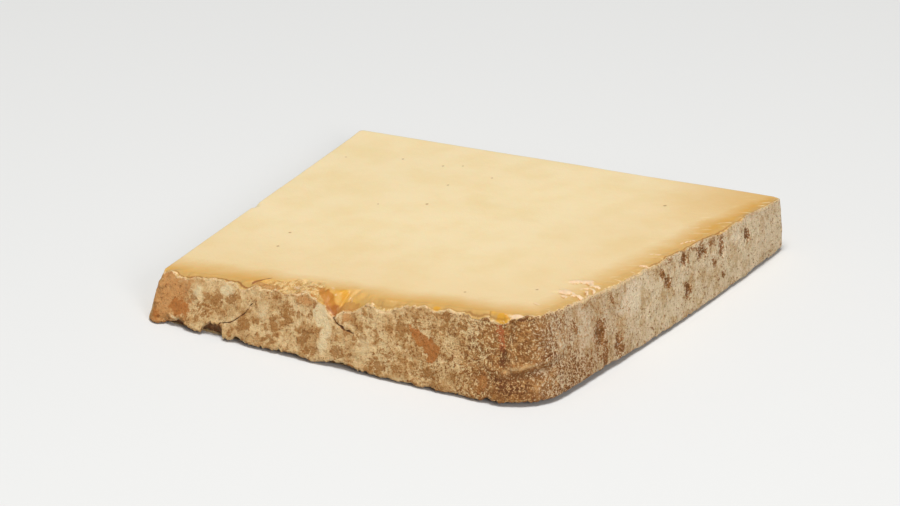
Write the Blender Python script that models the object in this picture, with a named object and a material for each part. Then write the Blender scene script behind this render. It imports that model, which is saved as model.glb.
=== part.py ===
"""A slab of Salers cheese, cut from a big drum and lying on its cut side.

One solid. The top and the underside are cut faces. The front and the right
side are the drum's rind, which meets at one rounded corner. The back and the
left side are cut faces too. The slab gets thinner away from that corner.
Lengths are in millimetres until the mesh is written.
"""
import math
from dataclasses import dataclass

import bpy
import numpy as np

MM = 0.001
NODE = "salers_slab"

# The four corners in plan: left, front, right, back. The front corner is the
# drum's edge. RIM is the edge of the top face and FOOT the edge of the underside.
RIM = np.array([[-100.6, -97.0], [97.6, -99.2], [118.6, 109.4], [-117.8, 114.3]])
FOOT = np.array([[-102.2, -113.2], [106.4, -113.2], [119.8, 110.4], [-118.0, 115.0]])
THICKNESS = np.array([20.8, 41.0, 26.7, 13.0])
RIM_RADIUS = np.array([2.0, 10.0, 2.5, 2.0])
FOOT_RADIUS = np.array([7.0, 26.0, 3.0, 2.0])

# How far the two rind faces swell out of the straight line between corners.
FRONT_SWELL = 2.0
RIGHT_SWELL = 3.0
BELLY = 0.8  # swell of a rind face halfway up

# The flat that the slab rests on stays this far inside the foot.
FLAT_INSET_RIND = 7.0
FLAT_INSET_CUT = 1.2
FLAT_RADIUS_LESS = 5.0
SMALLEST_RADIUS = 1.5
EDGE_ROUND = 1.4  # rounding of the lower edge of the rind
CUT_ROUND = 0.35  # rounding of the lower edge of a cut face
LEFT_ROUND = 0.8  # more rounding of the lower edge at the left corner
LEFT_ROUND_REACH = 9.0
ROUND_IN = 0.75  # the lower edge goes in by this share of its rounding
ROUND_UP = 0.25  # and stays this share of it above the lift
UNDERCUT_SHARE = 0.66  # height of the middle of the slope under the lower edge
RIND_LIFT = 0.5  # the lower edge of the rind is off the ground by this much
CUT_LIFT = 0.25
LIFT_RAGGED = 0.35
SMOOTH_LEFT = 9.0  # how far from the left corner the lower edge turns ragged
CORNER_LIFT = 0.8
CORNER_LIFT_REACH = 26.0

# The rim of the rind lies a little below the cut plane and is ragged.
FRONT_RIM_DROP = 1.3
RIGHT_RIM_DROP = 0.35
FRONT_RAGGED = 0.9
RIGHT_RAGGED = 0.5
RAGGED_LENGTH = 5.0

# Relief of the faces: height and length of the lumps.
FRONT_LUMPS = 0.75
RIGHT_LUMPS = 0.35
CUT_LUMPS = 0.2
LUMP_LENGTH = 11.0
LUMP_LAYERS = 3
EDGE_LUMPS = 0.25  # share of the lumps that is left at the two edges
TOP_WAVES = 0.3
TOP_WAVE_LENGTH = 45.0

# Columns of the mesh on the front, right, back and left side, and round the
# left, front, right and back corner. Their sum divides by 16.
SIDE_COLUMNS = (88, 92, 36, 32)
ARC_COLUMNS = (4, 12, 5, 3)
WALL_LEVELS = 10
TOP_INSETS = (1.1, 3.2, 6.5, 11.0, 16.0)
# Rings that close a cap: one column in so many is kept, and the ring's size.
CAP_RINGS = ((2, 0.95), (4, 0.87), (4, 0.76), (4, 0.63), (8, 0.48), (8, 0.33), (16, 0.18))

SEED = 41
BACK_FROM = 0.9  # share of the left side's length from which a column is at the back
SHARP_ANGLE = 50.0  # edges that turn by more degrees are shaded sharp


@dataclass(frozen=True)
class Notch:
    """A dip in an edge, with its place and its two half widths along the face."""

    at: float
    left: float
    right: float
    depth: float
    power: float = 2.0

    def dip(self, a):
        """Depth of the dip at the places a."""
        half = np.where(a < self.at, self.left, self.right)
        q = np.clip(np.abs(a - self.at) / half, 0.0, 1.0)
        return self.depth * (1.0 - q * q) ** self.power


@dataclass(frozen=True)
class Crack:
    """A crack in the front face: its corners as (along, up), depth and half width."""

    path: tuple
    depth: float
    width: float

    def nearest(self, a, z):
        """Nearest place on the path and its distance."""
        best = np.full(a.shape, np.inf)
        place = np.zeros(a.shape + (2,))
        p = np.stack([a, z], -1)
        for start, end in zip(self.path[:-1], self.path[1:]):
            start = np.array(start)
            run = np.array(end) - start
            q = np.clip(((p - start) @ run) / (run @ run), 0.0, 1.0)
            spot = start + q[..., None] * run
            gap = np.linalg.norm(p - spot, axis=-1)
            closer = gap < best
            best = np.where(closer, gap, best)
            place = np.where(closer[..., None], spot, place)
        return place, best


@dataclass(frozen=True)
class Pit:
    """A shallow oval pit in a face: its middle, its half sizes and its depth."""

    at: float
    up: float
    half_at: float
    half_up: float
    depth: float

    def dent(self, a, z):
        """Depth of the pit at the places a and the heights z."""
        q = ((a - self.at) / self.half_at) ** 2 + ((z - self.up) / self.half_up) ** 2
        return self.depth * np.clip(1.0 - q, 0.0, 1.0) ** 2


# Dips in the front rim, as distances from the left corner.
LEFT_SHOULDER = Notch(4.5, 6.0, 5.5, -1.0)  # stands up instead
LEFT_NICK = Notch(14.0, 3.5, 3.5, 0.8)
LEFT_NOTCH = Notch(44.8, 3.0, 8.0, 3.1)
CRUMBLED_RIM = Notch(70.5, 9.0, 4.0, 2.2)
BROKEN_FLANK = Notch(89.0, 12.0, 6.0, 2.0)
BROKEN_NOTCH = Notch(97.0, 13.0, 4.5, 4.0)
BROKEN_SHELF = Notch(104.5, 13.0, 7.6, 5.8, 0.5)
BROKEN_END = Notch(112.5, 2.0, 3.0, 1.7)
MIDDLE_DIP = Notch(121.5, 8.0, 10.5, 4.2)
SMALL_NICK = Notch(148.0, 3.2, 3.0, 0.7)
LONG_DIP = Notch(170.0, 9.0, 9.5, 2.6)
DIP_END = Notch(176.3, 2.6, 2.6, 0.9)
CORNER_NOTCH = Notch(181.8, 6.0, 4.8, 3.9, 0.6)
CORNER_FLAKE = Notch(195.5, 6.0, 6.0, -1.9)  # stands up instead
FRONT_DIPS = (
    LEFT_SHOULDER,
    LEFT_NICK,
    LEFT_NOTCH,
    CRUMBLED_RIM,
    BROKEN_FLANK,
    BROKEN_NOTCH,
    BROKEN_SHELF,
    BROKEN_END,
    MIDDLE_DIP,
    SMALL_NICK,
    LONG_DIP,
    DIP_END,
    CORNER_NOTCH,
    CORNER_FLAKE,
)

# Dips in the right rim, as distances from the front corner.
RIGHT_SAG = Notch(60.0, 60.0, 60.0, 1.1, 1.0)
FAR_DIP = Notch(151.0, 12.0, 15.0, 1.4)
FAR_RISE = Notch(181.0, 13.0, 16.0, -1.1)  # stands up instead
RIGHT_DIPS = (RIGHT_SAG, FAR_DIP, FAR_RISE)

# Hollows under the lower edge of the front face and of the right face.
LEFT_SINK = Notch(1.0, 7.0, 6.0, -0.45, 1.0)  # comes down instead
LEFT_HOLLOW = Notch(13.5, 8.0, 12.0, 1.7)
FOOT_NOTCH = Notch(33.7, 6.4, 6.4, 5.2, 0.5)
CRACK_HOLLOW = Notch(48.0, 4.0, 8.0, 1.2)
MIDDLE_HOLLOW = Notch(105.0, 14.0, 16.0, 1.6)
DIP_HOLLOW = Notch(81.0, 6.0, 6.0, 1.0)
FAR_HOLLOW = Notch(156.0, 4.0, 4.0, 0.9)
GROOVE_HOLLOW = Notch(187.5, 4.5, 3.5, 1.2)
FRONT_HOLLOWS = (
    LEFT_SINK,
    LEFT_HOLLOW,
    FOOT_NOTCH,
    CRACK_HOLLOW,
    DIP_HOLLOW,
    MIDDLE_HOLLOW,
    FAR_HOLLOW,
    GROOVE_HOLLOW,
)
RIGHT_HOLLOW = Notch(28.0, 40.0, 70.0, 1.6)

# How wide the paste slopes down to the rim: everywhere, and where it crumbled
# and where a piece broke out.
SLOPE_WIDTH = 2.6
SLOPE_CURVE = 1.2
CRUMBLE = Notch(70.0, 27.0, 25.0, 10.0)
SCOOP = Notch(99.0, 12.0, 16.0, 6.5)
CRUMB_DEPTH = 1.0
CRUMB_LENGTH = 4.5

# Chips in the edges of the top face at the back and at the left.
BACK_CHIP = Notch(219.0, 7.0, 6.0, 0.9)
LEFT_CHIP = Notch(93.0, 4.0, 5.0, 1.1)

LONG_PATH = ((53.4, 20.0), (52.3, 17.2), (49.5, 13.7), (46.1, 10.6), (41.4, 8.1), (33.0, 5.8))
LONG_CRACK = Crack(LONG_PATH, 1.2, 1.1)
SHORT_CRACK = Crack(((96.6, 21.5), (101.9, 18.7), (105.0, 17.7), (110.0, 16.6)), 1.2, 1.1)
CORNER_GROOVE = Crack(((187.5, 36.5), (188.3, 27.0), (189.5, 16.5)), 1.5, 2.4)
CRACKS = (LONG_CRACK, SHORT_CRACK, CORNER_GROOVE)
CRACK_PULL = 0.72  # how strongly the mesh is drawn to a crack
CRACK_REACH = 3.2

# Pits in the front face, as distances from the left corner and heights.
LEFT_BULGE = Pit(-1.0, 13.0, 7.0, 8.5, -1.3)  # stands out instead
LEFT_UNDERCUT = Pit(13.0, 2.0, 9.0, 3.4, 2.2)
SMALL_UNDERCUT = Pit(48.0, 1.5, 4.0, 2.6, 1.2)
FRONT_PITS = (LEFT_BULGE, LEFT_UNDERCUT, SMALL_UNDERCUT)

# Pits in the right face, as distances from the front corner and heights.
BROWN_PIT = Pit(42.0, 18.5, 3.8, 6.5, 1.2)
TALL_PIT = Pit(55.0, 8.5, 3.4, 5.5, 0.8)
PIT_PAIR_LEFT = Pit(100.4, 23.2, 3.4, 4.2, 0.8)
PIT_PAIR_RIGHT = Pit(117.1, 13.8, 3.6, 5.5, 0.9)
UPPER_PIT = Pit(116.4, 28.0, 4.2, 3.6, 0.9)
RIM_PIT = Pit(132.2, 26.6, 5.0, 3.4, 0.9)
SLANT_PIT = Pit(149.5, 21.5, 3.2, 6.0, 0.8)
FAR_PIT = Pit(173.4, 20.5, 3.6, 4.2, 0.7)
RIGHT_PITS = (BROWN_PIT, TALL_PIT, PIT_PAIR_LEFT, PIT_PAIR_RIGHT, UPPER_PIT, RIM_PIT, SLANT_PIT, FAR_PIT)

# A ridge that runs round the front corner and rises, with a hollow under it.
RIDGE_FROM = 180.0
RIDGE_FULL = 192.0
RIDGE_HEIGHT = 15.5
RIDGE_RISE_FRONT = 0.16
RIDGE_RISE_RIGHT = 0.35
RIDGE_END = 22.0
RIDGE_WIDTH = 1.9
RIDGE_OUT = 0.9
HOLLOW_IN = 1.1
HOLLOW_BELOW = 2.2
HOLLOW_SPREAD = 2.2

PASTE = (0.83, 0.66, 0.37, 1.0)
PASTE_ROUGHNESS = 0.5


def lattice(cells, seed):
    """A number from -1 to 1 for each whole-number point of a lattice."""
    c = cells.astype(np.int64)
    h = c[..., 0] * 374761393 + c[..., 1] * 668265263 + c[..., 2] * 2147483647 + seed * 1274126177
    h = (h ^ (h >> 13)) & 0xFFFFFFFF
    h = (h * 1103515245 + 12345) & 0xFFFFFFFF
    h = (h ^ (h >> 16)) & 0xFFFFFFFF
    h = (h * 69069 + 907133923) & 0xFFFFFFFF
    return ((h >> 8) & 0xFFFF) / 32767.5 - 1.0


def noise(p, length, seed):
    """Smooth noise between -1 and 1 that changes over the given length."""
    q = p / length
    low = np.floor(q)
    f = q - low
    f = f * f * f * (f * (f * 6.0 - 15.0) + 10.0)
    total = 0.0
    for corner in np.ndindex(2, 2, 2):
        step = np.array(corner)
        weight = np.prod(np.where(step, f, 1.0 - f), axis=-1)
        total = total + weight * lattice(low + step, seed)
    return total


def rough(p, length, seed, layers=2):
    """Noise with finer layers, each of half the length and half the height."""
    total = 0.0
    for k in range(layers):
        total = total + noise(p, length / 2**k, seed + k) / 2**k
    return total


def on_ground(xy):
    """Plan points as points in space at height 0."""
    return np.concatenate([xy, np.zeros(xy.shape[:-1] + (1,))], axis=-1)


def directions(corners):
    """Unit vector along each side of a shape."""
    run = np.roll(corners, -1, axis=0) - corners
    return run / np.linalg.norm(run, axis=1)[:, None]


def inset(corners, amounts):
    """Corners of the shape whose sides are moved in by the given amounts."""
    run = directions(corners)
    inward = np.stack([-run[:, 1], run[:, 0]], axis=1)
    start = corners + inward * np.asarray(amounts, float)[:, None]
    out = []
    for k in range(len(corners)):
        across = np.stack([run[k - 1], -run[k]], axis=1)
        along = np.linalg.solve(across, start[k] - start[k - 1])[0]
        out.append(start[k - 1] + run[k - 1] * along)
    return np.array(out)


def ring(corners, radii):
    """Points round a shape with rounded corners, and the outward directions there."""
    points, outs = [], []
    run = directions(corners)
    outward = np.stack([run[:, 1], -run[:, 0]], axis=1)
    angle = np.arctan2(outward[:, 1], outward[:, 0])
    turn = (np.roll(angle, -1) - angle) % (2.0 * math.pi)
    for k, count in enumerate(SIDE_COLUMNS):
        ahead = (k + 1) % len(corners)
        first = corners[k] + run[k] * radii[k] * math.tan(turn[k - 1] / 2.0)
        last = corners[ahead] - run[k] * radii[ahead] * math.tan(turn[k] / 2.0)
        share = np.linspace(0.0, 1.0, count, endpoint=False)[:, None]
        points.append(first + (last - first) * share)
        outs.append(np.repeat(outward[k : k + 1], count, axis=0))
        theta = angle[k] + turn[k] * np.arange(ARC_COLUMNS[ahead]) / ARC_COLUMNS[ahead]
        around = np.stack([np.cos(theta), np.sin(theta)], axis=1)
        points.append(last - outward[k] * radii[ahead] + around * radii[ahead])
        outs.append(around)
    return np.concatenate(points), np.concatenate(outs)


def cut_plane():
    """Factors of the top face's height: a + b x + c y + d x y."""
    x, y = RIM[:, 0], RIM[:, 1]
    return np.linalg.solve(np.stack([np.ones(4), x, y, x * y], axis=1), THICKNESS)


PLANE = cut_plane()


def height(xy):
    """Height of the top face, with its very slight waves."""
    x, y = xy[..., 0], xy[..., 1]
    flat = PLANE[0] + PLANE[1] * x + PLANE[2] * y + PLANE[3] * x * y
    return flat + TOP_WAVES * noise(on_ground(xy), TOP_WAVE_LENGTH, SEED)


def arch(a, length):
    """A flat arch over a side: 0 at its ends and 1 in the middle."""
    q = np.clip(a / length, 0.0, 1.0)
    return 4.0 * q * (1.0 - q)


class Outline:
    """The slab's outline, one column of the mesh after the other: rim and foot."""

    def __init__(self):
        lengths = np.linalg.norm(np.roll(RIM, -1, axis=0) - RIM, axis=1)
        self.foot, self.foot_out = ring(FOOT, FOOT_RADIUS)
        self.rim, self.rim_out = ring(RIM, RIM_RADIUS)
        self.front, self.right = directions(RIM)[:2]
        self.along_front = (self.rim - RIM[0]) @ self.front
        self.along_right = (self.rim - RIM[1]) @ self.right
        self.along_left = (self.rim - RIM[0]) @ self.right
        facing_front = self.rim_out @ np.array([self.front[1], -self.front[0]])
        facing_right = self.rim_out @ np.array([self.right[1], -self.right[0]])
        self.is_front = np.clip(facing_front, 0.0, 1.0) ** 2
        self.is_right = np.clip(facing_right, 0.0, 1.0) ** 2
        self.is_rind = np.clip(self.is_front + self.is_right, 0.0, 1.0)
        self.is_cut = 1.0 - self.is_rind
        swell_front = FRONT_SWELL * arch(self.along_front, lengths[0]) * self.is_front
        swell_right = RIGHT_SWELL * arch(self.along_right, lengths[1]) * self.is_right
        self.swell = (swell_front + swell_right)[:, None]
        self.foot = self.foot + self.foot_out * self.swell
        self.rim = self.rim + self.rim_out * self.swell
        self.top = height(self.rim)
        self.drop = self.rim_drop()
        self.lift = self.foot_lift()

    def mix(self, front, right, cut):
        """One value for each column from the values of the three kinds of face."""
        return front * self.is_front + right * self.is_right + cut * self.is_cut

    def rim_drop(self):
        """How far the rim lies below the top face."""
        jag = rough(on_ground(self.rim), RAGGED_LENGTH, SEED + 5)
        front = FRONT_RIM_DROP + FRONT_RAGGED * jag + sum(dip.dip(self.along_front) for dip in FRONT_DIPS)
        right = RIGHT_RIM_DROP + RIGHT_RAGGED * jag + sum(dip.dip(self.along_right) for dip in RIGHT_DIPS)
        at_back = self.along_left > BACK_FROM * self.along_left.max()
        back = BACK_CHIP.dip(self.along_front)
        return self.mix(front, right, np.where(at_back, back, LEFT_CHIP.dip(self.along_left)))

    def foot_lift(self):
        """How far the lower edge is off the ground."""
        jag = LIFT_RAGGED * (1.0 + rough(on_ground(self.foot), RAGGED_LENGTH, SEED + 9))
        jag = jag * np.clip(self.along_front / SMOOTH_LEFT, 0.0, 1.0)
        corner = np.linalg.norm(self.foot - FOOT[1], axis=1) / CORNER_LIFT_REACH
        rind = RIND_LIFT + jag + CORNER_LIFT * np.clip(1.0 - corner, 0.0, 1.0)
        front = sum(hollow.dip(self.along_front) for hollow in FRONT_HOLLOWS)
        right = RIGHT_HOLLOW.dip(self.along_right)
        return self.mix(rind + front, rind + right, CUT_LIFT)


def ridge(outline, a, z):
    """The ridge round the front corner: proud along a line, hollow under it."""
    beyond = np.maximum(outline.along_right, 0.0)
    line = RIDGE_HEIGHT + RIDGE_RISE_FRONT * (a - RIDGE_FROM) + RIDGE_RISE_RIGHT * beyond
    here = np.clip((a - RIDGE_FROM) / (RIDGE_FULL - RIDGE_FROM), 0.0, 1.0)
    here = here * np.clip(1.0 - beyond / RIDGE_END, 0.0, 1.0) * outline.is_rind
    q = (z - line) / RIDGE_WIDTH
    proud = RIDGE_OUT * np.exp(-q * q)
    hollow = HOLLOW_IN * np.exp(-((q + HOLLOW_BELOW) ** 2) / HOLLOW_SPREAD)
    return here * (proud - hollow)


def wall(outline, z):
    """Points of the side faces at heights z, with their relief, for each column."""
    a = np.broadcast_to(outline.along_front, z.shape)
    shift = np.zeros(z.shape)
    groove = np.zeros(z.shape)
    for crack in CRACKS:
        place, gap = crack.nearest(a, z)
        pull = CRACK_PULL * np.exp(-((gap / CRACK_REACH) ** 2)) * (outline.is_front > 0.5)
        moved = pull * (place[..., 0] - a)
        z = z + pull * (place[..., 1] - z)
        a = a + moved
        shift = shift + moved
        groove += crack.depth * np.clip(1.0 - gap * (1.0 - pull) / crack.width, 0.0, 1.0)
    share = np.clip(z / outline.top, 0.0, 1.0)
    up = share[..., None]
    plan = outline.foot + (outline.rim - outline.foot) * up + outline.front * shift[..., None]
    out = outline.foot_out + (outline.rim_out - outline.foot_out) * up
    out = out / np.linalg.norm(out, axis=-1)[..., None]
    lumps = rough(np.concatenate([plan, z[..., None]], axis=-1), LUMP_LENGTH, SEED + 20, LUMP_LAYERS)
    bow = 4.0 * share * (1.0 - share)
    push = outline.mix(FRONT_LUMPS, RIGHT_LUMPS, CUT_LUMPS) * lumps * np.minimum(1.0, bow + EDGE_LUMPS)
    push = push + BELLY * outline.is_rind * bow - groove * outline.is_front + ridge(outline, a, z)
    push = push - sum(pit.dent(a, z) for pit in FRONT_PITS) * outline.is_front
    along_right = (plan - RIM[1]) @ outline.right
    push = push - sum(pit.dent(along_right, z) for pit in RIGHT_PITS) * outline.is_right
    return np.concatenate([plan + out * push[..., None], z[..., None]], axis=-1)


def side_rings(outline):
    """Rings from the flat underside, round the lower edge and up to the rim."""
    amounts = (FLAT_INSET_RIND, FLAT_INSET_RIND, FLAT_INSET_CUT, FLAT_INSET_CUT)
    radii = np.maximum(FOOT_RADIUS - FLAT_RADIUS_LESS, SMALLEST_RADIUS)
    flat, _ = ring(inset(FOOT, amounts), radii)
    flat = on_ground(flat + outline.foot_out * outline.swell)
    from_left = np.linalg.norm(outline.foot - FOOT[0], axis=1) / LEFT_ROUND_REACH
    rounding = outline.mix(EDGE_ROUND, EDGE_ROUND, CUT_ROUND)
    rounding = rounding + LEFT_ROUND * np.clip(1.0 - from_left, 0.0, 1.0)
    low = outline.lift + rounding
    shares = np.linspace(0.0, 1.0, WALL_LEVELS)[:, None]
    walls = wall(outline, low + (outline.top - outline.drop - low) * shares)
    edge = walls[0].copy()
    edge[:, :2] -= outline.foot_out * (ROUND_IN * rounding)[:, None]
    edge[:, 2] = outline.lift + ROUND_UP * rounding
    slope = 0.5 * (flat + edge)
    slope[:, 2] = UNDERCUT_SHARE * edge[:, 2]
    return [flat, slope, edge, *walls]


def top_rings(outline, rim):
    """Rings from the rim in over the top face, with its crumbled and broken edge."""
    crumbled = CRUMBLE.dip(outline.along_front) * outline.is_front
    slope = SLOPE_WIDTH + crumbled + SCOOP.dip(outline.along_front) * outline.is_front
    last = TOP_INSETS[-1]
    radii = np.maximum(RIM_RADIUS - last, SMALLEST_RADIUS)
    inner, _ = ring(inset(RIM, [last] * len(RIM)), radii)
    rings = []
    for amount in TOP_INSETS:
        plan = rim[:, :2] + (inner - rim[:, :2]) * (amount / last)
        left = 1.0 - np.clip(amount / slope, 0.0, 1.0)
        grain = 0.5 + 0.5 * noise(on_ground(plan), CRUMB_LENGTH, SEED + 31)
        crumbs = CRUMB_DEPTH * crumbled / CRUMBLE.depth * left * grain
        fall = outline.drop * left**SLOPE_CURVE + crumbs
        rings.append(np.column_stack([plan, height(plan) - fall]))
    return rings


def cap_rings(border, surface):
    """Ever smaller and coarser rings that close a border, and the middle point."""
    plan = border[:, :2]
    middle = plan.mean(axis=0)
    rings = [middle + (plan[::keep] - middle) * size for keep, size in CAP_RINGS]
    return [np.column_stack([r, surface(r)]) for r in [*rings, middle[None, :]]]


def band(start, count, inner_start, inner_count):
    """Faces between a ring and the next one, which has as many, half or one point."""
    k = np.arange(count)
    ahead = (k + 1) % count
    if inner_count == count:
        columns = (start + k, start + ahead, inner_start + ahead, inner_start + k)
        return np.stack(columns, axis=1).tolist()
    if inner_count == 1:
        return np.stack([start + k, start + ahead, np.full(count, inner_start)], axis=1).tolist()
    j = np.arange(inner_count)
    beside = inner_start + (j + 1) % inner_count
    here = inner_start + j
    first, second, third = start + 2 * j, start + 2 * j + 1, start + (2 * j + 2) % count
    faces = [(first, second, here), (second, beside, here), (second, third, beside)]
    return np.concatenate([np.stack(face, axis=1) for face in faces]).tolist()


def slab_mesh():
    """Vertices in millimetres and faces of the whole slab, from underneath to the top."""
    outline = Outline()
    rings = side_rings(outline)
    rings += top_rings(outline, rings[-1])
    under = cap_rings(rings[0], lambda plan: np.zeros(len(plan)))
    rings = under[::-1] + rings + cap_rings(rings[-1], height)
    starts = np.cumsum([0] + [len(r) for r in rings])
    faces = []
    for k in range(len(rings) - 1):
        lower, upper = (starts[k], len(rings[k])), (starts[k + 1], len(rings[k + 1]))
        if lower[1] >= upper[1]:
            faces += band(*lower, *upper)
        else:
            faces += [face[::-1] for face in band(*upper, *lower)]
    return np.concatenate(rings), faces


def material():
    """The pale paste of the cheese."""
    paste = bpy.data.materials.new("paste")
    paste.use_nodes = True
    shader = paste.node_tree.nodes["Principled BSDF"]
    shader.inputs["Base Color"].default_value = PASTE
    shader.inputs["Roughness"].default_value = PASTE_ROUGHNESS
    shader.inputs["Metallic"].default_value = 0.0
    paste.diffuse_color = PASTE
    return paste


def build():
    """Put the slab into an empty scene, its box centred over the origin."""
    for thing in list(bpy.data.objects):
        bpy.data.objects.remove(thing, do_unlink=True)
    verts, faces = slab_mesh()
    low, high = verts.min(axis=0), verts.max(axis=0)
    middle = (low + high)[:2] / 2.0
    verts[:, :2] -= middle
    print("middle of the box", middle, "size", high - low, "faces", len(faces))
    mesh = bpy.data.meshes.new(NODE)
    mesh.from_pydata((verts * MM).tolist(), [], faces)
    mesh.materials.append(material())
    for polygon in mesh.polygons:
        polygon.use_smooth = True
    mesh.set_sharp_from_angle(angle=math.radians(SHARP_ANGLE))
    slab = bpy.data.objects.new(NODE, mesh)
    bpy.context.scene.collection.objects.link(slab)


build()
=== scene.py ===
"""The looks of one slab of Salers cheese that lies on its cut side on a pale floor.

The slab is one closed skin. Its shape is the solid's own, worked out on a much finer mesh, with the
crumbs, torn flaps, cracks and grain that are too fine for the solid. Lengths are in millimetres
until the mesh is written. A place on the front rind is the distance from the left corner and the
height, and a place on the right rind is the distance from the front corner and the height.
"""

import logging
import math
from collections.abc import Callable
from dataclasses import dataclass, field
from enum import Enum
from typing import ClassVar, TypeVar

import bpy
import numpy as np
from mathutils import Matrix, Vector


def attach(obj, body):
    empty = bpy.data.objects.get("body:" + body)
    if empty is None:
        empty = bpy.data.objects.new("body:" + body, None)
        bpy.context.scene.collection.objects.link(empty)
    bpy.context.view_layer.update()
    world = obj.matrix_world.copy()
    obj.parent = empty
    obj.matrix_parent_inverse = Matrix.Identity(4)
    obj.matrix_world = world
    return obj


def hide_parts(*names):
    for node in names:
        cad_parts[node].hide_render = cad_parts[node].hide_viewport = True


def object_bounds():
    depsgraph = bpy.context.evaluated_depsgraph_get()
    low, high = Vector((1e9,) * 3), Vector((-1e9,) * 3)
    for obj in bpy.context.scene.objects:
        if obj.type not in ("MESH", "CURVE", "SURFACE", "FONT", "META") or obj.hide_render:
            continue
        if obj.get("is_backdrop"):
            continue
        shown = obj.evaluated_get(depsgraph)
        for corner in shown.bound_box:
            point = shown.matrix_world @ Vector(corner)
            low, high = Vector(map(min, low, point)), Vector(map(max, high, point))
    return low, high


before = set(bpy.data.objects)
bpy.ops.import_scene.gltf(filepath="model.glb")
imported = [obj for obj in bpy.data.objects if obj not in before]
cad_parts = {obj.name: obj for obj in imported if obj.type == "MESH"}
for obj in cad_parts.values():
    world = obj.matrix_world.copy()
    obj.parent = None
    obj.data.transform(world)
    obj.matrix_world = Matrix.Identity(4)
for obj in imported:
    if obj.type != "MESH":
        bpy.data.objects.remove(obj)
CAD_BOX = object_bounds()

MM = 0.001
NODE = "salers_slab"
BODY = "root"
LOG = logging.getLogger("slab")

PLACE_FACTORS = np.array([374761393, 668265263, 2147483647])
LAYER_FACTOR = 1274126177
SCRAMBLES = ((13, 1103515245, 12345), (16, 69069, 907133923))
WORD = 0xFFFFFFFF
LOW_BITS = 0xFFFF

Array = np.ndarray
Pair = tuple[float, float]
Kind = TypeVar("Kind")


# Helpers for shapes


def smooth(value: Array, low: float, high: float) -> Array:
    """Eases from 0 at low to 1 at high, as 3 q squared less 2 q cubed. Low may be the larger."""
    q = np.clip((value - low) / (high - low), 0.0, 1.0)
    return q * q * (3.0 - 2.0 * q)


def fade(gap: Array, reach: Array | float) -> Array:
    """Goes evenly from 1 where the gap is 0 to 0 where it is the reach or more."""
    return np.clip(1.0 - gap / reach, 0.0, 1.0)


def bell(place: Array, width: float) -> Array:
    """A bell that is 1 at 0 and is down to 0.37 a width away on both sides."""
    return np.exp(-((place / width) ** 2))


def on_ground(xy: Array) -> Array:
    """Turns plan points into points in space at height 0."""
    return np.concatenate([xy, np.zeros(xy.shape[:-1] + (1,))], axis=-1)


def directions(corners: Array) -> Array:
    """Gives the unit vector along each side of a shape."""
    run = np.roll(corners, -1, axis=0) - corners
    return run / np.linalg.norm(run, axis=1)[:, None]


def left_of(way: Array) -> Array:
    """Turns directions in plan a quarter turn to the left."""
    return np.stack([-way[..., 1], way[..., 0]], axis=-1)


def rows(kind: type[Kind], *values: tuple[float, ...]) -> tuple[Kind, ...]:
    """Makes one object of a kind from each row of its values."""
    return tuple(kind(*row) for row in values)


def table(*values: float | Pair) -> Array:
    """A field of a dataclass that is an array of these values."""
    return field(default_factory=lambda: np.array(values))


def arch(place: Array, length: float) -> Array:
    """A flat arch over a side: 4 q (1 - q), which is 0 at its ends and 1 in the middle."""
    q = np.clip(place / length, 0.0, 1.0)
    return 4.0 * q * (1.0 - q)


class Texture(Enum):
    """The noises of the shape: the length of the largest forms, the first lattice, the layers."""

    TOP_WAVES = (45.0, 0, 1)
    RIM_RAGGED = (5.0, 5, 2)
    FOOT_RAGGED = (5.0, 9, 2)
    LUMPS = (11.0, 20, 3)
    CRUMB_DUST = (4.5, 31, 1)
    RIM_TEETH = (1.5, 61, 2)
    FOOT_TEETH = (2.4, 67, 3)
    FOOT_TEETH_SHARE = (9.0, 70, 1)
    CRACK_ALONG = (2.4, 71, 2)
    CRACK_UP = (2.4, 74, 2)
    CRACK_OPEN = (3.0, 77, 2)
    GRAIN = (2.2, 81, 2)
    GRAIN_SHARE = (14.0, 83, 1)
    CORNER_GRAIN = (2.0, 84, 1)
    SLOPE = (5.0, 91, 2)
    CHIPS = (3.6, 94, 1)
    DIP_BEND = (5.0, 95, 2)
    GROOVE_SHARE = (8.0, 97, 1)
    FLAP_EDGE = (2.4, 99, 3)
    SMALL_CHIPS = (1.62, 104, 1)
    MARK_EDGE = (3.0, 111, 3)
    PIT_EDGE = (2.4, 121, 2)


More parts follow.
